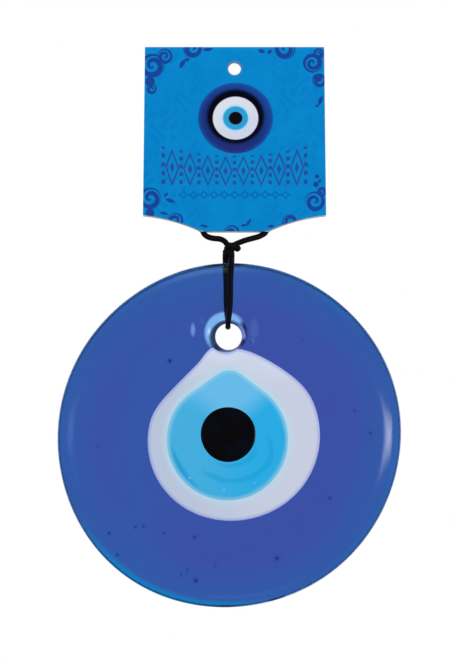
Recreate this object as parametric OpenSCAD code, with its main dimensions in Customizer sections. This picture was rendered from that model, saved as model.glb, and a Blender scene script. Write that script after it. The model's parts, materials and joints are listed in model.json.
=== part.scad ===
// Glass evil eye ornament: a pressed cobalt disc with a layered eye, hung by a knotted black cord
// from a folded printed card. +Z is up, the front faces -Y, and the origin is the centre of the
// card's peg hole, midway between the card's two panels.

/* [Glass disc] */
// Diameter of the glass disc
glass_d = 120; // [110:1:120]
// Thickness of the glass disc
glass_t = 8; // [7:0.5:8]
// Width of the rounded shoulder round the rim
shoulder_w = 9; // [5:0.5:12]
// Diameter of the hanging hole at its waist
hole_d = 9.2; // [8:0.1:10]
// Diameter of the hanging hole at its flared mouths
hole_mouth_d = 15; // [14:0.5:16]
// Height of the hanging hole's centre above the disc's centre
hole_rise = 34.4; // [33:0.1:36]

/* [Eye] */
// Diameter of the white layer
white_d = 60; // [56:1:62]
// Depth of the white layer below the face of the disc
white_depth = 2.4; // [2:0.1:3]
// Diameter of the turquoise iris
iris_d = 42.6; // [38:0.2:46]
// Depth of the iris below the face of the disc
iris_depth = 1.6; // [1.2:0.1:1.8]
// Diameter of the iris's rounded tip
iris_tip_d = 14; // [10:1:18]
// Height of the tip's centre above the iris's centre
iris_tip_rise = 17.3; // [16:0.1:19]
// Diameter of the black pupil
pupil_d = 19; // [16:0.5:22]
// Depth of the pupil below the face of the disc
pupil_depth = 0.9; // [0.5:0.1:1]
// Height that each layer stands above the one round it
layer_step = 0.15; // [0.1:0.05:0.3]

/* [Card] */
// Width of the card along its top fold
card_top_w = 62.4; // [58:0.2:66]
// Width of the card at its lower corners
card_low_w = 63.8; // [58:0.2:66]
// Width of the tab at the card's lower edge
tab_w = 24.2; // [22.5:0.1:30]
// Thickness of the card's board
board_t = 0.35; // [0.25:0.05:0.4]
// Gap between the two panels, which holds the cord
panel_gap = 2.4; // [2.3:0.1:3]
// How far the back panel reaches below the front one
back_longer = 0.3; // [0:0.1:0.4]
// Diameter of the peg hole through both panels
peg_hole_d = 4.5; // [4:0.1:5]
// Distance from the peg hole's centre up to the top of the fold
peg_drop = 7.7; // [7:0.1:9]

/* [Cord] */
// Diameter of the cord
cord_d = 2; // [1.6:0.1:2.2]

/* [Hidden] */
$fn = 96;

// The vertical line through the hanging hole and the disc's centre
hang_x = -2.1;
// The cord's centre line where it crosses the hanging hole's waist
bight_z = -90;
// Clear space between the cord and the top of the hanging hole
hole_play = 0.2;
hole_z = bight_z + cord_d / 2 + hole_play - hole_d / 2;
glass_z = hole_z - hole_rise;
half_t = glass_t / 2;
// Steps in each curved stretch of a turned outline
arc_steps = 12;

// Places of the layers, from the disc's centre
white_at = [1.6, 0.3];
iris_at = [-0.7, -1.4];
pupil_at = [-0.3, 0.3];
// The two flatter flanks of the white layer: distance from its centre, and direction
white_flanks = [[27.5, 133], [28.6, 60]];
// How sharply the flanks turn into the round part; higher is sharper
flank_blend = 16;
white_corners = 120;

fold_r = panel_gap / 2 + board_t;
fold_z = peg_drop - fold_r;
panel_y = (panel_gap + board_t) / 2;
// Height of the crease at the top of the fold, which the back panel swings about
crease_z = peg_drop - board_t / 2;
// How far short of the crease the front panel's half of the fold stops
crease_gap = 0.6;
corner_z = -51.1;
tab_z = -56.7;
// Radius of the hollow curve between a lower corner and the tab
slope_r = 60;

cord_sides = 8;
knot_at = [-1.8, 0, -62.1];
// Radius of the knot's two turns, to the cord's centre line, and half the distance between them
knot_turn_r = 1.2;
knot_turn_rise = 0.8;

// The route of the cord inside the card, from the left exit round the peg hole to the right exit
loop_half = [
    [-11, -56.8], [-11.4, -52], [-11.1, -46.5], [-10.5, -41], [-9.8, -35.5], [-9.1, -30], [-8.4, -24.5],
    [-7.7, -19], [-7, -13.5], [-6.2, -8], [-5.3, -3], [-4.4, 0.6], [-2.8, 3.1]
];
loop_top = [0, 4.1];
branch_left_route = [
    [-10.3, 0, -57.9], [-9, 0, -58.7], [-7.2, 0, -59.1], [-5.2, 0, -59.3], [-3.6, 0, -60], [-2.4, 0, -61.4]
];
branch_right_route = [
    [10, 0, -57.7], [8.4, 0, -58.5], [6.2, 0, -59.1], [4, 0, -59.7], [1.8, 0, -60.5], [-0.6, 0, -61.6]
];
tail_route = [[-0.8, -2.2, -62.4], [0.5, -2.7, -62.4], [1.4, -2.8, -62.3]];
neck_front_route = [[-1.1, -0.9, -64.9], [-1.1, -0.9, -65.5]];
neck_back_route = [[-3.1, 0.9, -64.9], [-3.1, 0.9, -65.5]];
sling_front_route = [
    [-1.1, -0.9, -65.8], [-1.1, -2.1, -67], [-1.2, -3.5, -68.3], [-1.3, -4.4, -70], [-1.4, -4.9, -72],
    [-1.5, -5.2, -74.6], [-1.5, -5.3, -78], [-1.6, -5.3, -82], [-1.9, -5.2, -85.9], [-2.1, -4.8, -87.6],
    [-2.2, -3.7, -89.1], [-2.3, -2.4, -89.8], [-2.3, -1, -90], [-2.3, 0, -90]
];
sling_back_route = [
    [-2.3, 0, -90], [-2.3, 1, -90], [-2.3, 2.4, -89.8], [-2.3, 3.7, -89.1], [-2.4, 4.8, -87.6],
    [-2.6, 5.2, -85.9], [-2.8, 5.3, -82], [-2.9, 5.3, -78], [-2.9, 5.2, -74.6], [-3, 4.9, -72],
    [-3, 4.4, -70], [-3.1, 3.5, -68.3], [-3.1, 2.1, -67], [-3.1, 0.9, -65.8]
];

function unit(v) = v / norm(v);

// The direction of a route at point i, averaged over its neighbours; a route may state its first
// and last directions, so that it meets the next stretch squarely
function heading(route, i, ends) =
    let (
        last = len(route) - 1,
        stated = i == 0 ? ends[0] : i == last ? ends[1] : undef
    )
    is_undef(stated) ? unit(route[min(i + 1, last)] - route[max(i - 1, 0)]) : stated;

// The corners of one ring of a cord, square to the route at point i
function ring(route, i, aside, ends) =
    let (
        along = heading(route, i, ends),
        side = unit(cross(along, aside)),
        over = cross(side, along)
    )
    [for (k = [0 : cord_sides - 1])
        let (turn = 360 * k / cord_sides)
        route[i] + cord_d / 2 * (cos(turn) * side + sin(turn) * over)];

// A plain cord along a route; aside is a direction that the route never runs along
module cord(route, aside, ends = []) {
    rings = len(route);
    points = [for (i = [0 : rings - 1]) each ring(route, i, aside, ends)];
    walls = [for (i = [0 : rings - 2], k = [0 : cord_sides - 1])
        let (next = (k + 1) % cord_sides)
        [i * cord_sides + k, i * cord_sides + next, (i + 1) * cord_sides + next, (i + 1) * cord_sides + k]];
    first_cap = [for (k = [cord_sides - 1 : -1 : 0]) k];
    last_cap = [for (k = [0 : cord_sides - 1]) (rings - 1) * cord_sides + k];
    polyhedron(points = points, faces = concat([first_cap], walls, [last_cap]));
}

// Stands a flat outline upright, its middle at height y behind the origin
module upright(thickness, y = 0) {
    translate([0, y, 0])
        rotate([90, 0, 0])
            linear_extrude(height = thickness, center = true)
                children();
}

// Half of the disc's section: a flat face that rounds off to the rim
module disc_section() {
    flat_r = glass_d / 2 - shoulder_w;
    rim = [for (i = [0 : 2 * arc_steps])
        let (a = 90 - 90 * i / arc_steps)
        [flat_r + shoulder_w * cos(a), half_t * sin(a)]];
    polygon(concat([[0, -half_t], [0, half_t]], rim));
}

// What the hanging hole takes away: a waist with a rounded lip at each face
module hole_section() {
    lip_r = (hole_mouth_d - hole_d) / 2;
    waist = half_t - lip_r;
    lip = [for (i = [0 : arc_steps])
        let (a = 90 * i / arc_steps)
        [hole_mouth_d / 2 - lip_r * cos(a), waist + lip_r * sin(a)]];
    lower_lip = [for (i = [arc_steps : -1 : 0]) [lip[i].x, -lip[i].y]];
    polygon(concat(
        [[0, -half_t - 1], [hole_mouth_d / 2, -half_t - 1]],
        lower_lip,
        lip,
        [[hole_mouth_d / 2, half_t + 1], [0, half_t + 1]]
    ));
}

module hanging_hole() {
    translate([hang_x, 0, hole_z])
        rotate([90, 0, 0])
            rotate_extrude()
                hole_section();
}

// Places a flat outline on the disc's face, from step above it to depth below it
module on_face(depth, step) {
    translate([hang_x, 0, glass_z])
        upright(depth + step, -half_t + (depth - step) / 2)
            children();
}

// Distance from the white layer's centre to its edge in direction a
function white_reach(a) =
    let (
        sides = [for (f = white_flanks) max(cos(a - f[1]), 0) * white_d / 2 / f[0]],
        total = 1 + pow(sides[0], flank_blend) + pow(sides[1], flank_blend)
    )
    white_d / 2 * pow(total, -1 / flank_blend);

module white_outline() {
    translate(white_at)
        polygon([for (i = [0 : white_corners - 1])
            let (a = 360 * i / white_corners)
            white_reach(a) * [cos(a), sin(a)]]);
}

module iris_outline() {
    big_r = iris_d / 2;
    tip_r = iris_tip_d / 2;
    // The straight flanks touch both circles at this angle from the upright
    touch = acos((big_r - tip_r) / iris_tip_rise);
    translate(iris_at) {
        circle(r = big_r);
        translate([0, iris_tip_rise])
            circle(r = tip_r);
        polygon([
            [-big_r * sin(touch), big_r * cos(touch)], [big_r * sin(touch), big_r * cos(touch)],
            [tip_r * sin(touch), iris_tip_rise + tip_r * cos(touch)],
            [-tip_r * sin(touch), iris_tip_rise + tip_r * cos(touch)]
        ]);
    }
}

module pupil_outline() {
    translate(pupil_at)
        circle(d = pupil_d);
}

// The hollow curve from a lower corner of the card in to the tab, for the right-hand side
function slope(from, to, steps) =
    let (
        mid = (from + to) / 2,
        half = norm(to - from) / 2,
        along = unit(to - from),
        centre = mid + sqrt(slope_r * slope_r - half * half) * [-along.y, along.x],
        a0 = atan2(from.y - centre.y, from.x - centre.x),
        a1 = atan2(to.y - centre.y, to.x - centre.x)
    )
    [for (i = [0 : steps])
        let (a = a0 + (a1 - a0) * i / steps)
        centre + slope_r * [cos(a), sin(a)]];

module panel_outline(longer) {
    low = [0, -longer];
    right = slope([card_low_w / 2, corner_z] + low, [tab_w / 2, tab_z + 0.3] + low, arc_steps);
    left = [for (i = [len(right) - 1 : -1 : 0]) [-right[i].x, right[i].y]];
    difference() {
        polygon(concat(
            [[card_top_w / 2, fold_z]],
            right,
            [[tab_w / 2 - 0.6, tab_z - longer], [0.6 - tab_w / 2, tab_z - longer]],
            left,
            [[-card_top_w / 2, fold_z]]
        ));
        circle(d = peg_hole_d);
    }
}

module glass_disc() {
    color([0.2, 0.3, 0.66, 0.8])
        difference() {
            translate([hang_x, 0, glass_z])
                rotate([90, 0, 0])
                    rotate_extrude()
                        disc_section();
            on_face(white_depth, 1)
                white_outline();
            hanging_hole();
        }
}

module eye_white() {
    color("ghostwhite")
        difference() {
            on_face(white_depth, layer_step)
                white_outline();
            on_face(iris_depth, 1)
                iris_outline();
            hanging_hole();
        }
}

module eye_iris() {
    color("deepskyblue")
        difference() {
            on_face(iris_depth, 2 * layer_step)
                iris_outline();
            on_face(pupil_depth, 1)
                pupil_outline();
        }
}

module eye_pupil() {
    color("black")
        on_face(pupil_depth, 3 * layer_step)
            pupil_outline();
}

// The half of the fold behind height y, the front half mirrored where behind is -1
module half_fold(behind, y) {
    mirror([0, behind < 0 ? 1 : 0, 0])
        translate([0, 0, fold_z])
            difference() {
                rotate([0, 90, 0])
                    cylinder(h = card_top_w, r = fold_r, center = true);
                rotate([0, 90, 0])
                    cylinder(h = card_top_w + 1, r = fold_r - board_t, center = true);
                translate([-card_top_w, -2 * fold_r, -2 * fold_r])
                    cube([2 * card_top_w, 4 * fold_r, 2 * fold_r]);
                translate([-card_top_w, -2 * fold_r, -1])
                    cube([2 * card_top_w, 2 * fold_r + y, fold_r + 2]);
            }
}

// The front panel with its half of the fold, which stops just short of the crease
module card_front() {
    color("deepskyblue") {
        upright(board_t, -panel_y)
            panel_outline(0);
        half_fold(-1, crease_gap);
    }
}

// The back panel with its half of the fold, rounded where it swings about the crease
module card_back() {
    color("lightgray") {
        upright(board_t, panel_y)
            panel_outline(back_longer);
        half_fold(1, 0);
        translate([0, 0, crease_z])
            rotate([0, 90, 0])
                cylinder(h = card_top_w, d = board_t, center = true);
    }
}

module cord_card_loop() {
    left = [for (p = loop_half) [p.x, 0, p.y]];
    right = [for (i = [len(loop_half) - 1 : -1 : 0]) [-loop_half[i].x, 0, loop_half[i].y]];
    color("black")
        cord(concat(left, [[loop_top.x, 0, loop_top.y]], right), [0, 1, 0]);
}

module cord_branch_left() {
    color("black")
        cord(branch_left_route, [0, 1, 0]);
}

module cord_branch_right() {
    color("black")
        cord(branch_right_route, [0, 1, 0]);
}

// The knot as its outer shape: two turns of cord drawn tight one above the other
module knot() {
    core_h = 2 * knot_turn_rise + cord_d;
    color("black")
        translate(knot_at)
            rotate_extrude() {
                translate([0, -core_h / 2])
                    square([knot_turn_r, core_h]);
                for (rise = [-knot_turn_rise, knot_turn_rise])
                    translate([knot_turn_r, rise])
                        circle(d = cord_d);
            }
}

module knot_tail() {
    color("black")
        cord(tail_route, [0, 0, 1]);
}

module cord_neck() {
    color("black") {
        cord(neck_front_route, [1, 0, 0]);
        cord(neck_back_route, [1, 0, 0]);
    }
}

module sling_front() {
    color("black")
        cord(sling_front_route, [1, 0, 0], [[0, 0, -1], [0, 1, 0]]);
}

module sling_back() {
    color("black")
        cord(sling_back_route, [1, 0, 0], [[0, 1, 0], [0, 0, 1]]);
}

glass_disc();
eye_white();
eye_iris();
eye_pupil();
card_front();
card_back();
cord_card_loop();
cord_branch_left();
cord_branch_right();
knot();
knot_tail();
cord_neck();
sling_front();
sling_back();
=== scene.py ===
"""The looks of a glass eye ornament: a blue glass disc that hangs by a black cord from a folded card.

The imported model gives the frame, and every piece here is built in it, in metres. Sizes are written in
millimetres, as on a maker's drawing, and turned to metres where a mesh is made.
"""
import json
import logging
import math
from collections.abc import Callable, Sequence
from dataclasses import dataclass
from enum import Enum
from typing import Any

import bmesh
import bpy
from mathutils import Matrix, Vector

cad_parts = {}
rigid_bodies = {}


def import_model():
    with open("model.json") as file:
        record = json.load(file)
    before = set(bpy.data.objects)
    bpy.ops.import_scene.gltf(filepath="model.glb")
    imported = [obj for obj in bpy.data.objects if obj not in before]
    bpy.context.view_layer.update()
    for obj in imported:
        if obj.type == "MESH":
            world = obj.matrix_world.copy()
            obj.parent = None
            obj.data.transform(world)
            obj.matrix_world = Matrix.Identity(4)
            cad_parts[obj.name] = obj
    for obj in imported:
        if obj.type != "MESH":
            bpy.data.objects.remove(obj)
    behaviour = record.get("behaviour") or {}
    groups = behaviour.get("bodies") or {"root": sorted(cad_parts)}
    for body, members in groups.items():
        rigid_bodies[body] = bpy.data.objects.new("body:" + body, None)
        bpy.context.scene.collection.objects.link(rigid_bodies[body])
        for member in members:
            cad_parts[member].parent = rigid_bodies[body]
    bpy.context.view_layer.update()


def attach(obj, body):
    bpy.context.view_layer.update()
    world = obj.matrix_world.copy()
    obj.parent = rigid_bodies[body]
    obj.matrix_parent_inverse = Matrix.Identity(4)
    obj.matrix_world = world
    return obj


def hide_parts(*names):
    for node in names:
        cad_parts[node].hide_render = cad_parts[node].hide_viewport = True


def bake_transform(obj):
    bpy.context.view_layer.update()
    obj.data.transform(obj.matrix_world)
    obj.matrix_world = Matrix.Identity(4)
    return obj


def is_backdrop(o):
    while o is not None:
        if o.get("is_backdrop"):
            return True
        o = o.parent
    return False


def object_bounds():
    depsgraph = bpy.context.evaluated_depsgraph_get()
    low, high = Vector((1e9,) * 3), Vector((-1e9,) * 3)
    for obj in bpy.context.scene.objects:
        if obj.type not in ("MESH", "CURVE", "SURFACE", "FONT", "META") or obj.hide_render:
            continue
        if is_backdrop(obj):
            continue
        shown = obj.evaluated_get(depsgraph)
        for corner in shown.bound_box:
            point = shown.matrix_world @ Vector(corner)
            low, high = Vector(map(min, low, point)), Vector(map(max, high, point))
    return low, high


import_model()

LOG = logging.getLogger("ornament")
MM = 0.001
UV_SPAN = 0.1  # metres of surface that one unit of a UV map covers
Point = tuple[float, float, float]
Flat = tuple[float, float]
Colour = tuple[float, float, float, float]


# ---------------------------------------------------------------------------------------------------------
# Shader tools
# ---------------------------------------------------------------------------------------------------------


def paint(red: int, green: int, blue: int) -> Colour:
    """Returns a display colour of 0 to 255 a channel as the linear colour that a shader takes."""
    return (*(_linear(channel / 255) for channel in (red, green, blue)), 1.0)


def _linear(value: float) -> float:
    """Returns one display channel as light."""
    return value / 12.92 if value <= 0.04045 else ((value + 0.055) / 1.055) ** 2.4


class Wire:
    """A socket of a node tree that can stand in a sum."""

    def __init__(self, tree: "Tree", socket: bpy.types.NodeSocket) -> None:
        """Keeps the socket and the tree that it belongs to.

        Args:
            tree: The tree that new nodes are added to.
            socket: The output that this wire carries.
        """
        self.tree = tree
        self.socket = socket

    def __add__(self, other: "Wire | float") -> "Wire":
        """Returns the sum."""
        return self.tree.math("ADD", self, other)

    def __sub__(self, other: "Wire | float") -> "Wire":
        """Returns the difference."""
        return self.tree.math("SUBTRACT", self, other)

    def __rsub__(self, other: "Wire | float") -> "Wire":
        """Returns the difference the other way round."""
        return self.tree.math("SUBTRACT", other, self)

    def __mul__(self, other: "Wire | float") -> "Wire":
        """Returns the product."""
        return self.tree.math("MULTIPLY", self, other)

    def __truediv__(self, other: "Wire | float") -> "Wire":
        """Returns the quotient."""
        return self.tree.math("DIVIDE", self, other)

    __radd__ = __add__
    __rmul__ = __mul__

    def size(self) -> "Wire":
        """Returns the value without its sign."""
        return self.tree.math("ABSOLUTE", self)

    def wave(self) -> "Wire":
        """Returns the sine."""
        return self.tree.math("SINE", self)

    def part(self) -> "Wire":
        """Returns the part after the point, from 0 to 1."""
        return self.tree.math("FRACT", self)

    def most(self, other: "Wire | float") -> "Wire":
        """Returns the greater of two values."""
        return self.tree.math("MAXIMUM", self, other)

    def ease(self, low: float, high: float) -> "Wire":
        """Turns a value into a share, with a smooth turn at both ends.

        Args:
            low: The value that gives 0.
            high: The value that gives 1. It may be the lesser of the two.

        Returns:
            The share.
        """
        settings = {"interpolation_type": "SMOOTHSTEP"}
        node = self.tree.node("ShaderNodeMapRange", settings, {0: self, 1: low, 2: high})
        return Wire(self.tree, node.outputs[0])


class Tree:
    """A node tree that is written as sums and calls."""

    def __init__(self, tree: bpy.types.NodeTree) -> None:
        """Empties the tree.

        Args:
            tree: The node tree of a material or a world.
        """
        self.tree = tree
        self.tree.nodes.clear()

    def node(self, kind: str, settings: dict[str, Any], sockets: dict[int | str, Any]) -> bpy.types.Node:
        """Adds a node.

        Args:
            kind: The node's type.
            settings: The node's own settings, which are set first.
            sockets: Values or wires by the input's place or name.

        Returns:
            The new node.
        """
        node = self.tree.nodes.new(kind)
        for name, value in settings.items():
            setattr(node, name, value)
        for key, value in sockets.items():
            if isinstance(value, Wire):
                self.tree.links.new(value.socket, node.inputs[key])
            else:
                node.inputs[key].default_value = value
        return node

    def math(self, operation: str, *values: Wire | float) -> Wire:
        """Returns what a Math node makes of its values."""
        node = self.node("ShaderNodeMath", {"operation": operation}, dict(enumerate(values)))
        return Wire(self, node.outputs[0])

    def mix(self, share: Wire | float, first: Wire | Colour, second: Wire | Colour) -> Wire:
        """Mixes two colours.

        Args:
            share: 0 for the first and 1 for the second.
            first: The first colour.
            second: The second colour.

        Returns:
            The mixed colour.
        """
        sockets = {0: share, 6: first, 7: second}
        node = self.node("ShaderNodeMix", {"data_type": "RGBA", "clamp_factor": True}, sockets)
        return Wire(self, node.outputs[2])

    def place(self, at: Point = (0.0, 0.0, 0.0), grow: Point = (1.0, 1.0, 1.0)) -> Wire:
        """Returns Object coordinates about a point, in metres times grow.

        Args:
            at: The point that becomes the origin, in metres.
            grow: What each axis is multiplied by.

        Returns:
            The vector.
        """
        coordinates = self.node("ShaderNodeTexCoord", {}, {})
        moved = tuple(-a * g for a, g in zip(at, grow))
        mapping = self.node(
            "ShaderNodeMapping", {}, {0: Wire(self, coordinates.outputs["Object"]), 1: moved, 3: grow}
        )
        return Wire(self, mapping.outputs[0])

    def plane(self, middle: Flat) -> tuple[Wire, Wire]:
        """Returns a point's place on a plane across the Y axis.

        Args:
            middle: The place that it is measured from, in millimetres.

        Returns:
            The place across and the place up, in millimetres.
        """
        grow = 1 / MM
        across, _, up = self.split(self.place((middle[0] * MM, 0, middle[1] * MM), (grow, grow, grow)))
        return across, up

    def chart(self, name: str) -> Wire:
        """Returns the vector of a UV map."""
        return Wire(self, self.node("ShaderNodeUVMap", {"uv_map": name}, {}).outputs[0])

    def split(self, vector: Wire) -> tuple[Wire, Wire, Wire]:
        """Returns a vector's three parts."""
        node = self.node("ShaderNodeSeparateXYZ", {}, {0: vector})
        return tuple(Wire(self, output) for output in node.outputs)

    def pair(self, first: Wire | float, second: Wire | float) -> Wire:
        """Returns a vector of two parts and a nought."""
        return Wire(self, self.node("ShaderNodeCombineXYZ", {}, {0: first, 1: second}).outputs[0])

    def reach(self, first: Wire, second: Wire) -> Wire:
        """Returns the length of a vector of two parts."""
        return self.math("SQRT", first * first + second * second)

    def noise(self, vector: Wire, scale: float, detail: float = 2.0, rough: float = 0.5) -> Wire:
        """Returns smooth noise about 0.5.

        Args:
            vector: Where it is read.
            scale: Waves in one unit of the vector.
            detail: How many finer layers it has.
            rough: How strong the finer layers are.

        Returns:
            The value.
        """
        sockets = {"Vector": vector, "Scale": scale, "Detail": detail, "Roughness": rough}
        return Wire(self, self.node("ShaderNodeTexNoise", {}, sockets).outputs[0])

    def bump(self, height: Wire, depth: float, strength: float = 1.0) -> Wire:
        """Returns a normal that follows a height.

        Args:
            height: The height, from 0 to 1.
            depth: What a height of 1 is in metres.
            strength: How much of it is used.

        Returns:
            The normal.
        """
        sockets = {"Height": height, "Distance": depth, "Strength": strength}
        return Wire(self, self.node("ShaderNodeBump", {}, sockets).outputs[0])


class Finish:
    """A material with one Principled shader."""

    def __init__(self, name: str, **constants: float) -> None:
        """Makes the material and sets what is the same all over it.

        Args:
            name: The material's name.
            constants: Values by socket name, with underscores for blanks.
        """
        self.material = bpy.data.materials.new(name)
        self.material.use_nodes = True
        self.tree = Tree(self.material.node_tree)
        named = {key.replace("_", " "): value for key, value in constants.items()}
        self.shader = self.tree.node("ShaderNodeBsdfPrincipled", {}, named)
        output = self.tree.node("ShaderNodeOutputMaterial", {}, {})
        self.tree.tree.links.new(self.shader.outputs[0], output.inputs[0])

    def feed(self, **wires: Wire) -> bpy.types.Material:
        """Links what varies over the surface.

        Args:
            wires: Wires by socket name, with underscores for blanks.

        Returns:
            The finished material.
        """
        for key, wire in wires.items():
            self.tree.tree.links.new(wire.socket, self.shader.inputs[key.replace("_", " ")])
        return self.material


# ---------------------------------------------------------------------------------------------------------
# Modelling tools
# ---------------------------------------------------------------------------------------------------------


def clear_choice() -> None:
    """Leaves edit mode and deselects every object."""
    if bpy.context.mode != "OBJECT":
        bpy.ops.object.mode_set(mode="OBJECT")
    bpy.ops.object.select_all(action="DESELECT")


def choose(piece: bpy.types.Object) -> None:
    """Makes a piece the only selected and the active object.

    Args:
        piece: The piece.
    """
    clear_choice()
    piece.select_set(True)
    bpy.context.view_layer.objects.active = piece


def metres(point: Sequence[float]) -> Vector:
    """Returns a point of the drawing in metres."""
    return Vector(point) * MM


@dataclass(frozen=True)
class Ring:
    """A round ring across the Y axis, in millimetres."""

    x: float
    z: float
    y: float
    radius: float

    @property
    def centre(self) -> Vector:
        """The ring's centre in metres."""
        return metres((self.x, self.y, self.z))


def loft(name: str, rings: Sequence[Ring], sides: int) -> bpy.types.Object:
    """Extrudes a circle from ring to ring, and stays in edit mode with the last ring selected.

    Args:
        name: The piece's name.
        rings: The rings in the order that the skin takes them.
        sides: Points in a ring.

    Returns:
        The piece.
    """
    clear_choice()
    first = rings[0]
    bpy.ops.mesh.primitive_circle_add(
        vertices=sides, radius=first.radius * MM, location=first.centre, rotation=(math.pi / 2, 0, 0)
    )
    piece = bpy.context.object
    piece.name = name
    bpy.ops.object.transform_apply(location=True, rotation=True, scale=True)
    bpy.ops.object.mode_set(mode="EDIT")
    bpy.ops.mesh.select_all(action="SELECT")
    for last, ring in zip(rings, rings[1:]):
        bpy.ops.mesh.extrude_edges_move(TRANSFORM_OT_translate={"value": ring.centre - last.centre})
        grow = ring.radius / last.radius
        bpy.ops.transform.resize(value=(grow, 1, grow), center_override=ring.centre)
    return piece


def weld(piece: bpy.types.Object, gap: float = 1e-6) -> None:
    """Merges doubled points and turns every face outwards, and leaves edit mode.

    Args:
        piece: The piece, in edit mode.
        gap: How near doubled points are, in metres.
    """
    bpy.ops.mesh.select_all(action="SELECT")
    bpy.ops.mesh.remove_doubles(threshold=gap)
    bpy.ops.mesh.normals_make_consistent(inside=False)
    choose(piece)


def soften(piece: bpy.types.Object, angle: float = 40.0) -> None:
    """Shades a piece smooth wherever it bends less than an angle in degrees."""
    choose(piece)
    bpy.ops.object.shade_smooth_by_angle(angle=math.radians(angle))


def chart(piece: bpy.types.Object, name: str, rule: Callable[[Vector], Flat]) -> None:
    """Gives a piece a UV map that a rule works out from each point's place.

    Args:
        piece: The piece.
        name: The map's name.
        rule: Takes a point in metres and returns its two values.
    """
    mesh = piece.data
    layer = mesh.uv_layers.get(name) or mesh.uv_layers.new(name=name)
    values = [rule(vertex.co) for vertex in mesh.vertices]
    for loop in mesh.loops:
        layer.data[loop.index].uv = values[loop.vertex_index]


class Route:
    """A smooth line through given points."""

    def __init__(self, points: Sequence[Sequence[float]], spacing: float = 0.8) -> None:
        """Rounds the line and divides it evenly.

        Args:
            points: The points in millimetres.
            spacing: The distance between the line's own points in millimetres.
        """
        fine = self._rounded([metres(point) for point in points])
        self.points = self._even(fine, spacing * MM)

    @staticmethod
    def _rounded(knots: list[Vector], parts: int = 12) -> list[Vector]:
        """Returns a curve through the knots whose direction never jumps.

        Args:
            knots: The points to pass through.
            parts: Points worked out for each stretch.

        Returns:
            The curve's points.
        """
        ends = [knots[0] * 2 - knots[1], *knots, knots[-1] * 2 - knots[-2]]
        curve = []
        for before, start, end, after in zip(ends, ends[1:], ends[2:], ends[3:]):
            span = max((end - start).length, 1e-9)
            leave = (end - before) * (span / max((end - before).length, 1e-9))
            arrive = (after - start) * (span / max((after - start).length, 1e-9))
            for step in range(parts):
                t = step / parts
                curve.append(
                    start * (2 * t**3 - 3 * t**2 + 1)
                    + leave * (t**3 - 2 * t**2 + t)
                    + end * (3 * t**2 - 2 * t**3)
                    + arrive * (t**3 - t**2)
                )
        return [*curve, knots[-1]]

    @staticmethod
    def _even(points: list[Vector], spacing: float) -> list[Vector]:
        """Returns the line divided into equal steps.

        Args:
            points: The line's points.
            spacing: The wished step in metres.

        Returns:
            The new points.
        """
        lengths = [0.0]
        for start, end in zip(points, points[1:]):
            lengths.append(lengths[-1] + (end - start).length)
        count = max(round(lengths[-1] / spacing), 2)
        even = []
        stretch = 0
        for step in range(count + 1):
            along = lengths[-1] * step / count
            while stretch < len(points) - 2 and lengths[stretch + 1] < along:
                stretch += 1
            share = (along - lengths[stretch]) / max(lengths[stretch + 1] - lengths[stretch], 1e-12)
            even.append(points[stretch].lerp(points[stretch + 1], min(max(share, 0.0), 1.0)))
        return even

    @property
    def length(self) -> float:
        """The line's length in metres."""
        return sum((end - start).length for start, end in zip(self.points, self.points[1:]))

    def tube(self, name: str, girth: Callable[[float], float], sides: int = 16) -> bpy.types.Object:
        """Makes a closed tube along the line, with a UV map that runs round and along it.

        Args:
            name: The piece's name.
            girth: Takes the share of the length and returns the radius in metres.
            sides: Points round the tube.

        Returns:
            The piece.
        """
        mesh = bpy.data.meshes.new(name)
        piece = bpy.data.objects.new(name, mesh)
        bpy.context.scene.collection.objects.link(piece)
        skin = bmesh.new()
        layer = skin.loops.layers.uv.new("along")
        last = len(self.points) - 1
        forward = (self.points[1] - self.points[0]).normalized()
        side = forward.orthogonal().normalized()
        rings = []
        along = [0.0]
        for index, point in enumerate(self.points):
            ahead = self.points[min(index + 1, last)] - self.points[max(index - 1, 0)]
            turn = forward.rotation_difference(ahead.normalized())
            forward = ahead.normalized()
            side = (turn @ side).normalized()
            up = forward.cross(side)
            radius = girth(index / last)
            ring = []
            for corner in range(sides):
                angle = math.tau * corner / sides
                spoke = side * math.cos(angle) + up * math.sin(angle)
                ring.append(skin.verts.new(point + spoke * radius))
            rings.append(ring)
            if index:
                along.append(along[-1] + (point - self.points[index - 1]).length)
        for index in range(last):
            here = rings[index]
            there = rings[index + 1]
            for corner in range(sides):
                after = (corner + 1) % sides
                face = skin.faces.new((here[corner], here[after], there[after], there[corner]))
                around = (corner, corner + 1, corner + 1, corner)
                rows = (index, index, index + 1, index + 1)
                for loop, turn_part, row in zip(face.loops, around, rows):
                    loop[layer].uv = (turn_part / sides, along[row] / UV_SPAN)
        for ring, row in ((rings[0][::-1], 0), (rings[-1], last)):
            cap = skin.faces.new(ring)
            for loop in cap.loops:
                loop[layer].uv = (0.5, along[row] / UV_SPAN)
        skin.normal_update()
        skin.to_mesh(mesh)
        skin.free()
        soften(piece, 60)
        return piece


# ---------------------------------------------------------------------------------------------------------
# Studio
# ---------------------------------------------------------------------------------------------------------


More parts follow.
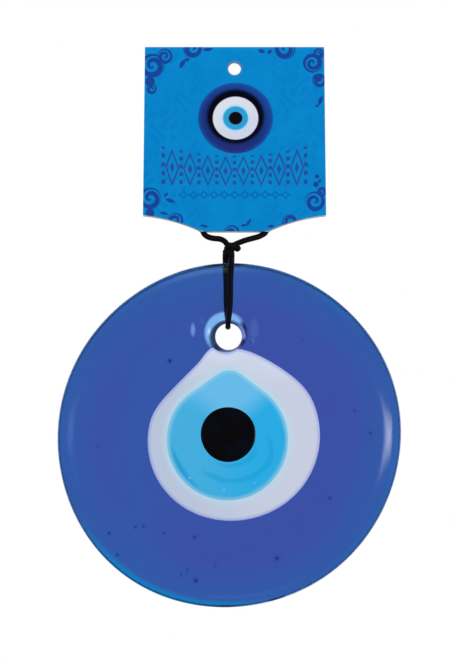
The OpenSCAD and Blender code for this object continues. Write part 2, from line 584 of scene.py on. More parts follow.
@dataclass(frozen=True)
class Softbox:
    """A flat studio lamp that faces the ornament, and is brightest in its middle."""

    name: str
    place: Point
    width: float
    height: float
    power: float
    mirrored: bool
    panes: tuple[float, ...] = (1.0, 0.7, 0.4)
    pane_gap: float = 0.004

    def hang(self, target: Vector) -> None:
        """Adds the lamp's nested panes and turns them to a point.

        Args:
            target: The point in metres.
        """
        inwards = (target - Vector(self.place)).normalized()
        for place, share in enumerate(self.panes):
            light = bpy.data.lights.new(self.name, "AREA")
            light.shape = "RECTANGLE"
            light.size = self.width * share
            light.size_y = self.height * share
            light.energy = self.power * share**2 / sum(pane**2 for pane in self.panes)
            lamp = bpy.data.objects.new(self.name, light)
            lamp.location = Vector(self.place) + inwards * (self.pane_gap * place)
            lamp.visible_glossy = self.mirrored
            lamp.rotation_euler = (target - lamp.location).to_track_quat("-Z", "Y").to_euler()
            bpy.context.scene.collection.objects.link(lamp)


@dataclass(frozen=True)
class Studio:
    """The camera, the pale floor and the soft light."""

    aim: Flat = (-3.5, -90.9)
    distance: float = 0.639
    lens: float = 100.0
    floor_drop: float = 0.20
    floor_half: float = 0.50
    floor_forward: float = 0.05
    floor_shades: tuple[Colour, Colour] = (paint(236, 236, 236), paint(242, 242, 242))
    room_light: float = 0.56
    room_mirrored: Flat = (0.05, 0.42)
    room_behind: Flat = (0.85, 0.15)
    lamps: tuple[Softbox, ...] = (
        Softbox("right_strip", (0.42, -0.56, -0.17), 0.30, 0.15, 0.70, True),
        Softbox("left_strip", (-0.42, -0.56, -0.13), 0.30, 0.16, 0.06, True),
        Softbox("overhead", (-0.15, -0.55, 0.75), 0.6, 0.5, 3.7, False),
    )

    def set_camera(self) -> None:
        """Places the camera straight in front of the ornament."""
        view = bpy.data.cameras.new("camera")
        view.lens = self.lens
        camera = bpy.data.objects.new("camera", view)
        camera.location = (self.aim[0] * MM, -self.distance, self.aim[1] * MM)
        camera.rotation_euler = (math.pi / 2, 0, 0)
        bpy.context.scene.collection.objects.link(camera)
        bpy.context.scene.camera = camera
        bpy.context.scene.view_settings.view_transform = "Standard"

    def set_light(self) -> None:
        """Lights a white room that is brightest before and behind the ornament, and hangs the lamps."""
        world = bpy.data.worlds.new("white_room")
        world.use_nodes = True
        bpy.context.scene.world = world
        tree = Tree(world.node_tree)
        path = tree.node("ShaderNodeLightPath", {}, {})
        seen = Wire(tree, path.outputs["Is Camera Ray"])
        through = Wire(tree, path.outputs["Is Transmission Ray"])
        mirrored = Wire(tree, path.outputs["Is Glossy Ray"])
        heading = Wire(tree, tree.node("ShaderNodeTexCoord", {}, {}).outputs["Generated"])
        away = tree.split(heading)[1]
        least, rise = self.room_behind
        behind = away.size().ease(0.0, 0.35) * rise + least
        least, rise = self.room_mirrored
        backdrop = away.ease(0.3, 0.95) * rise + least
        strength = self.room_light * (1 - mirrored) + backdrop * mirrored
        strength = strength * (1 - through) + behind * through
        strength = strength * (1 - seen) + seen
        shade = tree.node("ShaderNodeBackground", {}, {0: (1.0, 1.0, 1.0, 1.0), 1: strength})
        output = tree.node("ShaderNodeOutputWorld", {}, {})
        tree.tree.links.new(shade.outputs[0], output.inputs[0])
        target = metres((self.aim[0], 0, self.aim[1]))
        for lamp in self.lamps:
            lamp.hang(target)

    def lay_floor(self) -> None:
        """Lays a pale floor under the ornament."""
        clear_choice()
        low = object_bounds()[0][2] - self.floor_drop
        bpy.ops.mesh.primitive_plane_add(size=2 * self.floor_half, location=(0, -self.floor_forward, low))
        floor = bpy.context.object
        floor.name = "floor"
        floor.visible_glossy = False
        finish = Finish("pale_floor", Roughness=0.8, Specular_IOR_Level=0.2)
        tree = finish.tree
        grain = tree.noise(tree.place(), 60.0, 3.0)
        floor.data.materials.append(finish.feed(Base_Color=tree.mix(grain, *self.floor_shades)))
        floor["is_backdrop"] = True


# ---------------------------------------------------------------------------------------------------------
# Cord
# ---------------------------------------------------------------------------------------------------------


@dataclass(frozen=True)
class SatinCord:
    """The finish of a thin black cord woven from shiny thread."""

    thread: Colour = paint(6, 6, 9)
    painted_sheen: Colour = paint(20, 18, 24)
    ribs: float = 1100.0
    slant: float = 3.0

    def material(self) -> bpy.types.Material:
        """Weaves the black finish, whose ribs follow the cord, with a painted sheen: its colour is lighter
        where the weave rises.

        Returns:
            The material.
        """
        finish = Finish("satin_cord", Sheen_Weight=0.04, Sheen_Roughness=0.4, Specular_IOR_Level=0.2)
        tree = finish.tree
        around, along, _ = tree.split(tree.chart("along"))
        along_ribs = along * (self.ribs * UV_SPAN * math.tau)
        twill = (along_ribs + around * (self.slant * math.tau)).wave()
        crossing = (along_ribs - around * (self.slant * math.tau)).wave()
        weave = (twill * crossing) * 0.5 + 0.5
        fibre = tree.noise(tree.pair(around * 30, along * 60), 1.0, 3.0)
        # painted sheen: the colour is lighter on the weave's crests, uneven with the fibres
        light = (weave * 0.7 + fibre * 0.5).ease(0.3, 1.1)
        colour = tree.mix(light, self.thread, self.painted_sheen)
        normal = tree.bump(weave * 0.8 + fibre * 0.4, 0.00012, 0.6)
        rough = 0.42 + fibre * 0.2
        return finish.feed(Base_Color=colour, Roughness=rough, Normal=normal)


@dataclass
class HangingCord:
    """One black cord: a loop held in the card, a knot below it, and a sling through the glass."""

    finish: bpy.types.Material
    diameter: float = 2.0
    wander: Flat = (61, 23)
    crowded: Flat = (0.13, 0.14)
    pulled: Point = (0.43, 0.04, 0.17)
    fold_top: float = -56.7
    fold_end: float = -59.7
    twist_top: float = -64.0
    twist_end: float = -67.5
    loop_side: tuple[Flat, ...] = (
        (-11, -56.8), (-11.4, -52), (-11.1, -46.5), (-10.5, -41), (-9.8, -35.5), (-9.1, -30), (-8.4, -24.5),
        (-7.7, -19), (-7, -13.5), (-6.2, -8), (-5.3, -3), (-4.4, 0.6), (-2.8, 3.1),
    )
    loop_top: Flat = (0, 4.1)
    branch_left: tuple[Point, ...] = (
        (-10.3, 0, -57.9), (-9, 0, -58.7), (-7.2, 0, -59.1), (-5.2, 0, -59.3), (-3.6, 0, -60),
        (-2.4, 0, -61.4),
    )
    branch_right: tuple[Point, ...] = (
        (10, 0, -57.7), (8.4, 0, -58.5), (6.2, 0, -59.1), (4, 0, -59.7), (1.8, 0, -60.5), (-0.6, 0, -61.6),
    )
    sling_front: tuple[Point, ...] = (
        (-1.6, -0.3, -62.6), (-1.2, -0.8, -63.8), (-1.1, -0.9, -64.9), (-1.1, -0.9, -65.8), (-1.1, -2.1, -67),
        (-1.2, -3.5, -68.3), (-1.3, -4.4, -70), (-1.4, -4.9, -72), (-1.5, -5.2, -74.6), (-1.5, -5.3, -78),
        (-1.6, -5.3, -82), (-1.9, -5.2, -85.9), (-2.1, -4.8, -87.6), (-2.2, -3.7, -89.1), (-2.3, -2.4, -89.8),
        (-2.3, -1, -90),
    )
    sling_back: tuple[Point, ...] = (
        (-2.3, 0, -90), (-2.3, 1, -90), (-2.3, 2.4, -89.8), (-2.3, 3.7, -89.1), (-2.4, 4.8, -87.6),
        (-2.6, 5.2, -85.9), (-2.8, 5.3, -82), (-2.9, 5.3, -78), (-2.9, 5.2, -74.6), (-3, 4.9, -72),
        (-3, 4.4, -70), (-3.1, 3.5, -68.3), (-3.1, 2.1, -67), (-3.1, 0.9, -65.8), (-3.1, 0.9, -64.9),
        (-2.9, 0.8, -63.8), (-2.4, 0.3, -62.6),
    )
    knot_at: Point = (-1.8, 0, -62.1)
    turn_radii: Flat = (0.85, 1.2)
    knot_reach: Flat = (-61.6, -64.6)
    knot_lean: float = 0.5
    knot_tilt: Flat = (0.4, 0.6)
    tuck: float = 0.25
    turns: float = 2.3
    turn_steps: int = 12
    bead: Point = (0.25, 0.65, 0.25)
    tip: float = 0.4
    tail: tuple[Point, ...] = (
        (-0.8, -2.1, -62.4), (0.4, -2.6, -62.6), (1.3, -2.6, -62.7), (2.2, -2.4, -62.8),
    )

    def build(self) -> None:
        wraps = self._knot()
        tail = self._tail()
        self._loop()
        self._sling()

    def _girth(self, wear: float) -> Callable[[float], float]:
        """Returns a rule for a radius that wanders a little along the cord.

        Args:
            wear: The most that it changes by, as a share of the radius.

        Returns:
            The rule, which takes a share of the length and returns metres.
        """
        radius = self.diameter / 2 * MM
        quick, slow = self.wander
        return lambda share: radius * (1 + wear * math.sin(share * quick) * math.sin(share * slow))

    def _stretched(self, share: float) -> float:
        """Gives the sling's radius: full where the knot crowds it, thin where the glass pulls it tight.

        Args:
            share: Share of the sling's length.

        Returns:
            The radius in metres.
        """
        from_end = min(share, 1 - share)
        crowd_reach, growth = self.crowded
        pull_at, pull_reach, loss = self.pulled
        full = math.exp(-((from_end / crowd_reach) ** 2))
        tight = math.exp(-(((from_end - pull_at) / pull_reach) ** 2))
        return self.diameter / 2 * MM * (1 + growth * full - loss * tight)

    def _dress(self, piece: bpy.types.Object) -> None:
        """Gives a piece the cord's finish."""
        piece.data.materials.append(self.finish)

    def _loop(self) -> None:
        """Makes the loop in the card and its two ends, which run into the knot.
        """
        left = [(x, 0, z) for x, z in self.loop_side]
        right = [(-x, 0, z) for x, z in reversed(self.loop_side)]
        top = (self.loop_top[0], 0, self.loop_top[1])
        route = Route([*reversed(self.branch_left), *left, top, *right, *self.branch_right])
        piece = route.tube("hanging_cord", self._girth(0.03))
        self._dress(piece)
        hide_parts("cord_card_loop", "cord_branch_left", "cord_branch_right")
        self.fold_top * MM
        self.fold_end * MM
        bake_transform(piece)
        route.length
        self.diameter * MM
        LOG.info("hanging_cord: %.1f mm long", route.length / MM)

    def _sling(self) -> None:
        """Makes the stretch that goes down, through the glass and up again."""
        route = Route([*self.sling_front, *self.sling_back])
        piece = route.tube("sling_cord", self._stretched)
        self._dress(piece)
        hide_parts("cord_neck", "sling_front", "sling_back")
        self.twist_top * MM
        self.twist_end * MM
        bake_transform(piece)
        route.length
        self.diameter * MM
        LOG.info("sling_cord: %.1f mm long", route.length / MM)

    def _knot(self) -> bpy.types.Object:
        """Winds the knot's turns, one tight helix whose ends are tucked in.

        Returns:
            The piece.
        """
        x, y, _ = self.knot_at
        top, low = self.knot_reach
        narrow, wide = self.turn_radii
        tilt, phase = self.knot_tilt
        points = []
        steps = round(self.turns * self.turn_steps)
        for step in range(steps + 1):
            share = step / steps
            angle = math.tau * self.turns * share
            radius = (narrow + (wide - narrow) * share) * math.sin(math.pi * share) ** self.tuck
            across = x - self.knot_lean * share + radius * math.cos(angle)
            height = top + (low - top) * share + tilt * math.cos(angle + phase)
            points.append((across, y + radius * math.sin(angle), height))
        piece = Route(points, spacing=0.4).tube("knot_turns", self._girth(0.04))
        self._dress(piece)
        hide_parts("knot")
        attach(piece, "yoke")
        LOG.info("knot_turns: %.1f turns", self.turns)
        return piece

    def _tail(self) -> bpy.types.Object:
        """Makes the cord's cut end, melted to a bead so that it can't fray.

        Returns:
            The piece.
        """
        radius = self.diameter / 2 * MM
        fuller, bead_at, bead_reach = self.bead

        def girth(share: float) -> float:
            """Gives a radius that is a little fuller before the round end.

            Args:
                share: Share of the length.

            Returns:
                The radius in metres.
            """
            bead = 1 + fuller * math.exp(-(((share - bead_at) / bead_reach) ** 2))
            end = math.sqrt(max(1 - max((share - 1 + self.tip) / self.tip, 0.0) ** 2, 0.01))
            return radius * bead * end

        piece = Route(self.tail, spacing=0.12).tube("knot_tail_end", girth)
        self._dress(piece)
        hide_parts("knot_tail")
        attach(piece, "yoke")
        LOG.info("knot_tail_end: cut end")
        return piece


# ---------------------------------------------------------------------------------------------------------
# Glass
# ---------------------------------------------------------------------------------------------------------


@dataclass(frozen=True)
class Seed:
    """A small bubble caught in the glass: its place from the disc's centre, and its half width and height."""

    x: float
    z: float
    y: float
    width: float
    height: float


@dataclass(frozen=True)
class GlassDisc:
    """The round glass with a pierced hole, shaped while it was soft."""

    centre: Flat = (-2.1, -127.8)
    radius: float = 60.0
    half_thick: float = 4.0
    shoulder: float = 9.0
    hole_rise: float = 34.4
    hole_radius: float = 4.6
    mouth_radius: float = 7.5
    mouth_shift: Flat = (-1.0, 1.3)
    waist: float = 1.1
    collar_rise: float = 0.36
    collar_at: float = 10.2
    collar_width: float = 2.4
    sag: Flat = (0.16, -0.24)
    waves: tuple[Point, ...] = ((0.0096, 2, -0.1), (0.003, 3, 2.5), (0.002, 5, 0))
    sides: int = 192
    lip_steps: int = 8
    face_steps: int = 34
    shoulder_steps: int = 16
    crowding: float = 1.6
    seeds: tuple[Seed, ...] = (
        Seed(-20.4, 26.0, -1.0, 0.42, 0.50), Seed(16.9, -42.8, -1.5, 0.50, 0.42),
        Seed(-11.8, -35.5, 0.5, 0.34, 0.34), Seed(-11.4, -50.5, -1.0, 0.44, 0.34),
        Seed(-29.6, -31.6, -2.0, 0.26, 0.26), Seed(-32.4, -31.9, -0.6, 0.28, 0.24),
        Seed(-41.5, -34.0, 1.0, 0.30, 0.30), Seed(-22.6, -34.0, -1.8, 0.28, 0.22),
        Seed(35.3, -21.8, -1.2, 0.30, 0.26), Seed(8.1, 32.7, -2.2, 0.28, 0.30),
        Seed(44.0, 8.5, 0.8, 0.22, 0.22), Seed(-45.5, -4.0, -0.4, 0.22, 0.26),
        Seed(26.0, 33.0, 1.2, 0.20, 0.20), Seed(-16.5, -48.6, 1.4, 0.24, 0.20),
        Seed(-14.4, -46.9, 0.3, 0.22, 0.22), Seed(-4.6, -45.2, -0.8, 0.22, 0.24),
        Seed(-38.5, -41.4, 0.2, 0.26, 0.22), Seed(49.4, 0.8, -0.4, 0.28, 0.24),
    )

    @property
    def hole(self) -> Flat:
        """The middle of the hole's waist."""
        return (self.centre[0], self.centre[1] + self.hole_rise)

    @property
    def mouth(self) -> Flat:
        """The middle of the hole's flared mouth, which was opened a little to one side."""
        return (self.hole[0] + self.mouth_shift[0], self.hole[1] + self.mouth_shift[1])

    def flare(self, x: float, z: float) -> float:
        """Returns how far a place is from the hole's waist, 0, to its mouth, 1.

        Args:
            x: Place across, in millimetres.
            z: Place up, in millimetres.

        Returns:
            The share, which is over 1 on the face.
        """
        out = Vector((x - self.hole[0], z - self.hole[1]))
        shift = Vector(self.mouth_shift)
        widening = self.mouth_radius - self.hole_radius
        square = shift.length_squared - widening**2
        half = out.dot(shift) + self.hole_radius * widening
        rest = out.length_squared - self.hole_radius**2
        return (half - math.sqrt(max(half**2 - square * rest, 0.0))) / square

    def half_at(self, x: float, z: float) -> float:
        """Returns how far the surface stands from the middle plane at a place.

        Args:
            x: Place across, in millimetres.
            z: Place up, in millimetres.

        Returns:
            Half of the thickness there, in millimetres.
        """
        from_mouth = math.hypot(x - self.mouth[0], z - self.mouth[1])
        from_middle = math.hypot(x - self.centre[0], z - self.centre[1])
        collar = self.collar_rise * math.exp(-(((from_mouth - self.collar_at) / self.collar_width) ** 2))
        swell = self._ripple(x, z)
        share = max(self.flare(x, z), 0.0)
        if share < 1:
            rise = math.sqrt(1 - (1 - share) ** 2)
            return self.waist + (self.half_thick - self.waist + collar + swell) * rise
        inner = self.radius - self.shoulder
        if from_middle > inner:
            share = min((from_middle - inner) / self.shoulder, 1.0)
            return (self.half_thick + collar + swell) * math.sqrt(1 - share**2)
        return self.half_thick + collar + swell

    @staticmethod
    def _ripple(x: float, z: float) -> float:
        """Returns the slow swell of the poured surface, in millimetres."""
        return 0.05 * math.sin(x * 0.14 + 1.0) * math.sin(z * 0.11) + 0.035 * math.sin(x * 0.05 - z * 0.19)

    def _rings(self) -> list[Ring]:
        """Works out the rings from the hole's waist over the front, round the rim and back to the waist.

        Returns:
            The rings.
        """
        front = []
        for step in range(self.lip_steps + 1):
            angle = math.pi / 2 * step / self.lip_steps
            share = 1 - math.cos(angle)
            x = self.hole[0] + self.mouth_shift[0] * share
            z = self.hole[1] + self.mouth_shift[1] * share
            rise = self.waist + (self.half_thick - self.waist) * math.sin(angle)
            radius = self.hole_radius + (self.mouth_radius - self.hole_radius) * share
            front.append(Ring(x, z, -rise, radius))
        inner = self.radius - self.shoulder
        for step in range(1, self.face_steps + 1):
            share = (step / self.face_steps) ** self.crowding
            x = self.mouth[0] + (self.centre[0] - self.mouth[0]) * share
            z = self.mouth[1] + (self.centre[1] - self.mouth[1]) * share
            radius = self.mouth_radius + (inner - self.mouth_radius) * share
            front.append(Ring(x, z, -self.half_thick, radius))
        for step in range(1, self.shoulder_steps + 1):
            angle = math.pi / 2 * step / self.shoulder_steps
            rise = max(self.half_thick * math.cos(angle), 0.0)
            front.append(Ring(*self.centre, -rise, inner + self.shoulder * math.sin(angle)))
        back = [Ring(ring.x, ring.z, -ring.y, ring.radius) for ring in reversed(front[:-1])]
        return [*front, *back, front[0]]

    def build(self, finish: bpy.types.Material) -> bpy.types.Object:
        """Makes the disc.

        Args:
            finish: The glass.

        Returns:
            The piece.
        """
        piece = loft("glass_body", self._rings(), self.sides)
        weld(piece)
        chart(piece, "round", self._round)
        for vertex in piece.data.vertices:
            vertex.co = self._settled(vertex.co)
        self._add_seeds(piece)
        soften(piece, 60)
        piece.data.materials.clear()
        piece.data.materials.append(finish)
        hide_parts("glass_disc")
        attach(piece, "glass")
        LOG.info("glass_body: %d faces, %d seeds", len(piece.data.polygons), len(self.seeds))
        return piece

    def _round(self, place: Vector) -> Flat:
        """Returns a point's distance from the disc's middle, as a part of the map's unit."""
        x, _, z = place / MM
        return (math.hypot(x - self.centre[0], z - self.centre[1]) * MM / UV_SPAN, 0.0)

    def _settled(self, place: Vector) -> Vector:
        """Moves a point of the true turned shape to where it came to rest in the soft glass.

        Args:
            place: The point in metres.

        Returns:
            Its new place in metres.
        """
        x, y, z = place / MM
        out = math.hypot(x - self.centre[0], z - self.centre[1]) / self.radius
        if abs(y) > self.waist + 0.02 and out < 0.9995:
            y = math.copysign(self.half_at(x, z), y)
        around = math.atan2(z - self.centre[1], x - self.centre[0])
        uneven = sum(size * math.sin(count * around + phase) for size, count, phase in self.waves)
        grow = 1 + out**4 * uneven
        drift_x, drift_z = (share * out**4 for share in self.sag)
        new_x = self.centre[0] + (x - self.centre[0]) * grow + drift_x
        return metres((new_x, y, self.centre[1] + (z - self.centre[1]) * grow + drift_z))

    def _add_seeds(self, piece: bpy.types.Object) -> None:
        """Adds the bubbles, as hollows whose faces point away from the glass round them.

        Args:
            piece: The disc.
        """
        bubbles = []
        for seed in self.seeds:
            clear_choice()
            place = metres((self.centre[0] + seed.x, seed.y, self.centre[1] + seed.z))
            bpy.ops.mesh.primitive_ico_sphere_add(subdivisions=2, radius=MM, location=place)
            bubble = bpy.context.object
            bubble.scale = (seed.width, min(seed.width, seed.height), seed.height)
            bpy.ops.object.transform_apply(location=True, rotation=True, scale=True)
            bpy.ops.object.mode_set(mode="EDIT")
            bpy.ops.mesh.select_all(action="SELECT")
            bpy.ops.mesh.flip_normals()
            bpy.ops.object.mode_set(mode="OBJECT")
            bubbles.append(bubble)
        clear_choice()
        for bubble in bubbles:
            bubble.select_set(True)
        piece.select_set(True)
        bpy.context.view_layer.objects.active = piece
        bpy.ops.object.join()


@dataclass(frozen=True)
class CobaltGlass:
    """The finish of clear blue glass, greener towards the rim, with painted light and painted shade at the
    rim, and a painted highlight and painted shade on the hole's lip.
    """

    disc: GlassDisc
    middle: Colour = paint(59, 81, 167)
    cloud: Colour = paint(50, 89, 171)
    edge: Colour = paint(46, 94, 170)
    rim: Colour = paint(40, 124, 200)
    painted_rim_light: Colour = paint(150, 195, 245)
    lit_edge: Colour = paint(10, 132, 202)
    painted_lip_highlight: Colour = paint(128, 184, 240)
    painted_lip_shade: Colour = paint(0, 0, 10)
    milky_lip: Colour = paint(176, 186, 212)
    violet_lip: Colour = paint(190, 180, 235)
    glint: Colour = paint(120, 152, 226)
    seed_shade: Colour = paint(34, 48, 136)
    painted_rim_shade: Colour = paint(6, 12, 60)
    glints: tuple[tuple[float, float, float, float, float], ...] = (
        (-12.3, 2.4, 0.9, 2.6, 0.8), (8.4, -1.6, 0.7, 0.9, 0.3), (8.9, 2.6, 1.6, 4.2, 0.14),
        (-9.3, 5.4, 0.9, 1.6, 0.1),
    )

    def material(self) -> bpy.types.Material:
        """Mixes the glass from its middle out to its rim, with painted light and painted shade at the rim,
        its bubbles' shade and the hole's lip with its painted highlight and shade.

        Returns:
            The material.
        """
        finish = Finish("cobalt_glass", Transmission_Weight=1.0, IOR=1.45, Roughness=0.12)
        tree = finish.tree
        radius = self.disc.radius
        across, up = tree.plane(self.disc.centre)
        out = tree.split(tree.chart("round"))[0] * (UV_SPAN / MM)
        cloud = tree.noise(tree.place(grow=(1.0, 1.0, 0.6)), 22.0, 3.0)
        colour = tree.mix(cloud.ease(0.42, 0.68) * 0.7, self.middle, self.cloud)
        colour = tree.mix(out.ease(radius - 18, radius - 2) * 0.7, colour, self.edge)
        # painted light: a lighter cyan band round the rim, in patches
        colour = tree.mix(out.ease(radius - 4, radius - 0.8) * cloud.ease(0.3, 0.6) * 0.5, colour, self.rim)
        # painted light: a pale line along the rim's outermost edge
        colour = tree.mix(out.ease(radius - 1.1, radius - 0.3) * 0.85, colour, self.painted_rim_light)
        # painted light: the lower left of the rim is lit brighter
        low_left = (across * -0.4 - up).ease(47, 62) * out.ease(radius - 3.4, radius - 1.2)
        colour = tree.mix(low_left, colour, self.lit_edge)
        # painted shade: dark slivers along the bottom of the rim
        sliver = (across * 0.35 + 1.94).wave().ease(0.35, 0.8) * (0 - up).ease(54, 57) * across.ease(-12, -9)
        colour = tree.mix(sliver * out.ease(radius - 1.3, radius - 0.6), colour, self.painted_rim_shade)
        for seed in self.disc.seeds:
            shade = tree.reach(across - seed.x, up - seed.z).ease(seed.width * 3.4, seed.width * 0.8)
            colour = tree.mix(shade * 0.55, colour, self.seed_shade)
        ripple = tree.noise(tree.place(), 55.0, 2.0)
        colour = self._lip(tree, across, up - self.disc.hole_rise, colour)
        return finish.feed(Base_Color=colour, Normal=tree.bump(ripple, 0.0006, 0.12))

    def _lip(self, tree: Tree, across: Wire, up: Wire, colour: Wire) -> Wire:
        """Returns the glass with the hole's lip on it: a painted highlight on its upper left, painted shade
        where it turns light away, and painted glints round the hole.

        Args:
            tree: The tree to add to.
            across: Place across from the hole in millimetres.
            up: Place up from the hole in millimetres.
            colour: The glass.

        Returns:
            The colour.
        """
        shift_x, shift_z = self.disc.mouth_shift
        mouth = self.disc.mouth_radius
        on_lip = tree.reach(across - shift_x, up - shift_z).ease(mouth + 0.35, mouth - 0.35)
        inward = tree.reach(across, up) - self.disc.hole_radius
        # painted highlight: the lip's upper left is paler
        pale = (up * 0.75 - across * 0.75).ease(-1.6, 1.6) * inward.ease(1.0, 1.7)
        # painted shade: the lip's right side and its deep lower wall are darkened
        right = (across * 0.95 - up * 0.15).ease(3.4, 4.6) * up.ease(-4.6, -2.4)
        depth = (across * -0.12 - up * 0.06) + 1.2
        dark = (depth - inward).ease(-0.6, 0.3) * (up - across * 0.3).ease(-4.7, -3.5)
        milky = (0 - up).ease(2.6, 4.6) * across.size().ease(5.0, 3.0)
        strip = across.ease(3.0, 4.0) * up.ease(-1.4, 0.4) * up.ease(4.9, 3.6) * inward.ease(1.5, 1.1)
        # painted highlights: small soft glints round the hole
        for x, z, width, height, strength in self.glints:
            glint = tree.reach((across - x) * (1 / width), (up - z) * (1 / height)).ease(1.15, 0.45)
            colour = tree.mix(glint * strength, colour, self.glint)
        colour = tree.mix(on_lip * milky, colour, self.milky_lip)
        colour = tree.mix(on_lip * pale, colour, self.painted_lip_highlight)
        colour = tree.mix(on_lip * right.most(dark) * 0.95, colour, self.painted_lip_shade)
        return tree.mix(on_lip * strip, colour, self.violet_lip)


# ---------------------------------------------------------------------------------------------------------
# Eye
# ---------------------------------------------------------------------------------------------------------


class Layer(Enum):
    """The three glass layers of the eye, from the outermost in."""

    WHITE = "white_glass"
    IRIS = "turquoise_glass"
    PUPIL = "black_glass"


@dataclass(frozen=True)
class Press:
    """How a layer is pressed in: how far it stands out and goes down, and which layer is inside it."""

    name: str
    node: str
    proud: float
    depth: float
    inside: Layer | None


@dataclass(frozen=True)
class EyeGlass:
    """The finishes of the eye's opaque glass layers."""

    milk_shaded_side: Colour = paint(195, 208, 231)
    milk_lit_side: Colour = paint(211, 217, 237)
    milk_lit_top: Colour = paint(219, 229, 249)
    milk_edge: Colour = paint(160, 172, 236)
    halo: Colour = paint(192, 230, 250)
    iris_top: Colour = paint(111, 199, 247)
    iris_left: Colour = paint(72, 184, 234)
    iris_right: Colour = paint(41, 180, 240)
    iris_deep: Colour = paint(20, 164, 226)
    iris_edge: Colour = paint(150, 214, 240)
    black: Colour = paint(8, 8, 11)
    navy: Colour = paint(9, 22, 48)
    bubbles: tuple[Point, ...] = (
        (-13.1, -13.2, 0.5), (-1.2, -17.4, 0.45), (9.5, -15.0, 0.3), (-5.5, 13.5, 0.25),
    )

    def material(self, layer: Layer, centre: Flat) -> bpy.types.Material:
        """Returns the finish of a layer.

        Args:
            layer: Which layer.
            centre: The layer's middle in millimetres.

        Returns:
            The material.
        """
        finish = Finish(layer.value, Roughness=0.16, Specular_IOR_Level=0.2)
        tree = finish.tree
        across, up = tree.plane(centre)
        edge, inner, _ = tree.split(tree.chart("edges"))
        edge = edge * (UV_SPAN / MM)
        inner = inner * (UV_SPAN / MM)
        colours = {Layer.WHITE: self._white, Layer.IRIS: self._iris, Layer.PUPIL: self._pupil}
        colour = colours[layer](tree, across, up, edge, inner)
        ripple = tree.noise(tree.place(), 90.0, 2.0)
        return finish.feed(Base_Color=colour, Normal=tree.bump(ripple, 0.0004, 0.15))

    def _white(self, tree: Tree, across: Wire, up: Wire, edge: Wire, inner: Wire) -> Wire:
        """Returns the white's colour, with painted light that makes it lighter towards the right and the top,
        and lilac where the blue shows through its thin edge.

        Args:
            tree: The tree to add to.
            across: Place across the layer in millimetres.
            up: Place up the layer in millimetres.
            edge: Distance from the layer's edge in millimetres.
            inner: Distance from the iris in millimetres.

        Returns:
            The colour.
        """
        streak = tree.noise(tree.place(), 70.0, 2.0)
        # painted light: the white is lighter towards the right and darker to the left, broken by random
        # streaks
        side = (across + streak * 12 - 6).ease(-24, 22)
        colour = tree.mix(side, self.milk_shaded_side, self.milk_lit_side)
        # painted light: the white is lighter towards the top
        colour = tree.mix(up.ease(14, 27) * 0.8, colour, self.milk_lit_top)
        colour = tree.mix(inner.ease(2.8, 0.0) * 0.65, colour, self.halo)
        return tree.mix(edge.ease(1.5, 0.1) * 0.8, colour, self.milk_edge)

    def _iris(self, tree: Tree, across: Wire, up: Wire, edge: Wire, inner: Wire) -> Wire:
        """Returns the iris's colour, with the swirls left by winding the soft glass.

        Args:
            tree: The tree to add to.
            across: Place across the layer in millimetres.
            up: Place up the layer in millimetres.
            edge: Distance from the layer's edge in millimetres.
            inner: Distance from the pupil in millimetres, which this layer doesn't use.

        Returns:
            The colour.
        """
        drift = tree.noise(tree.place(), 60.0, 2.0)
        colour = tree.mix(across.ease(-14, 14), self.iris_left, self.iris_right)
        colour = tree.mix((up - across.size() * 0.7 + drift * 5).ease(3, 14) * 0.9, colour, self.iris_top)
        rings = ((tree.reach(across, up + 1.5) + drift * 7) * 1.15).wave().ease(0.1, 1.0)
        low_right = (across * 0.6 - up + drift * 6).ease(7, 15)
        colour = tree.mix(rings * low_right * 0.55, colour, self.iris_deep)
        low_left = (across * -0.85 - up * 0.55).ease(17.0, 19.0) * edge.ease(0.3, 1.2) * edge.ease(4.2, 2.2)
        colour = tree.mix(low_left * 0.85, colour, self.iris_deep)
        for x, z, size in self.bubbles:
            bubble = tree.reach(across - x, up - z).ease(size, size * 0.4)
            colour = tree.mix(bubble * 0.7, colour, self.iris_edge)
        return tree.mix(edge.ease(2.0, 0.0) * 0.8, colour, self.iris_edge)

    def _pupil(self, tree: Tree, across: Wire, up: Wire, edge: Wire, inner: Wire) -> Wire:
        """Returns the pupil's colour.

        Args:
            tree: The tree to add to.
            across: Place across the layer in millimetres, which this layer doesn't use.
            up: Place up the layer in millimetres, which this layer doesn't use.
            edge: Distance from the layer's edge in millimetres.
            inner: Distance from the layer inside it, and this one has none.

        Returns:
            The colour.
        """
        cloud = tree.noise(tree.place(), 120.0, 2.0).ease(0.45, 0.8)
        colour = tree.mix(cloud * 0.25, self.black, self.navy)
        return tree.mix(edge.ease(0.7, 0.0), colour, self.navy)


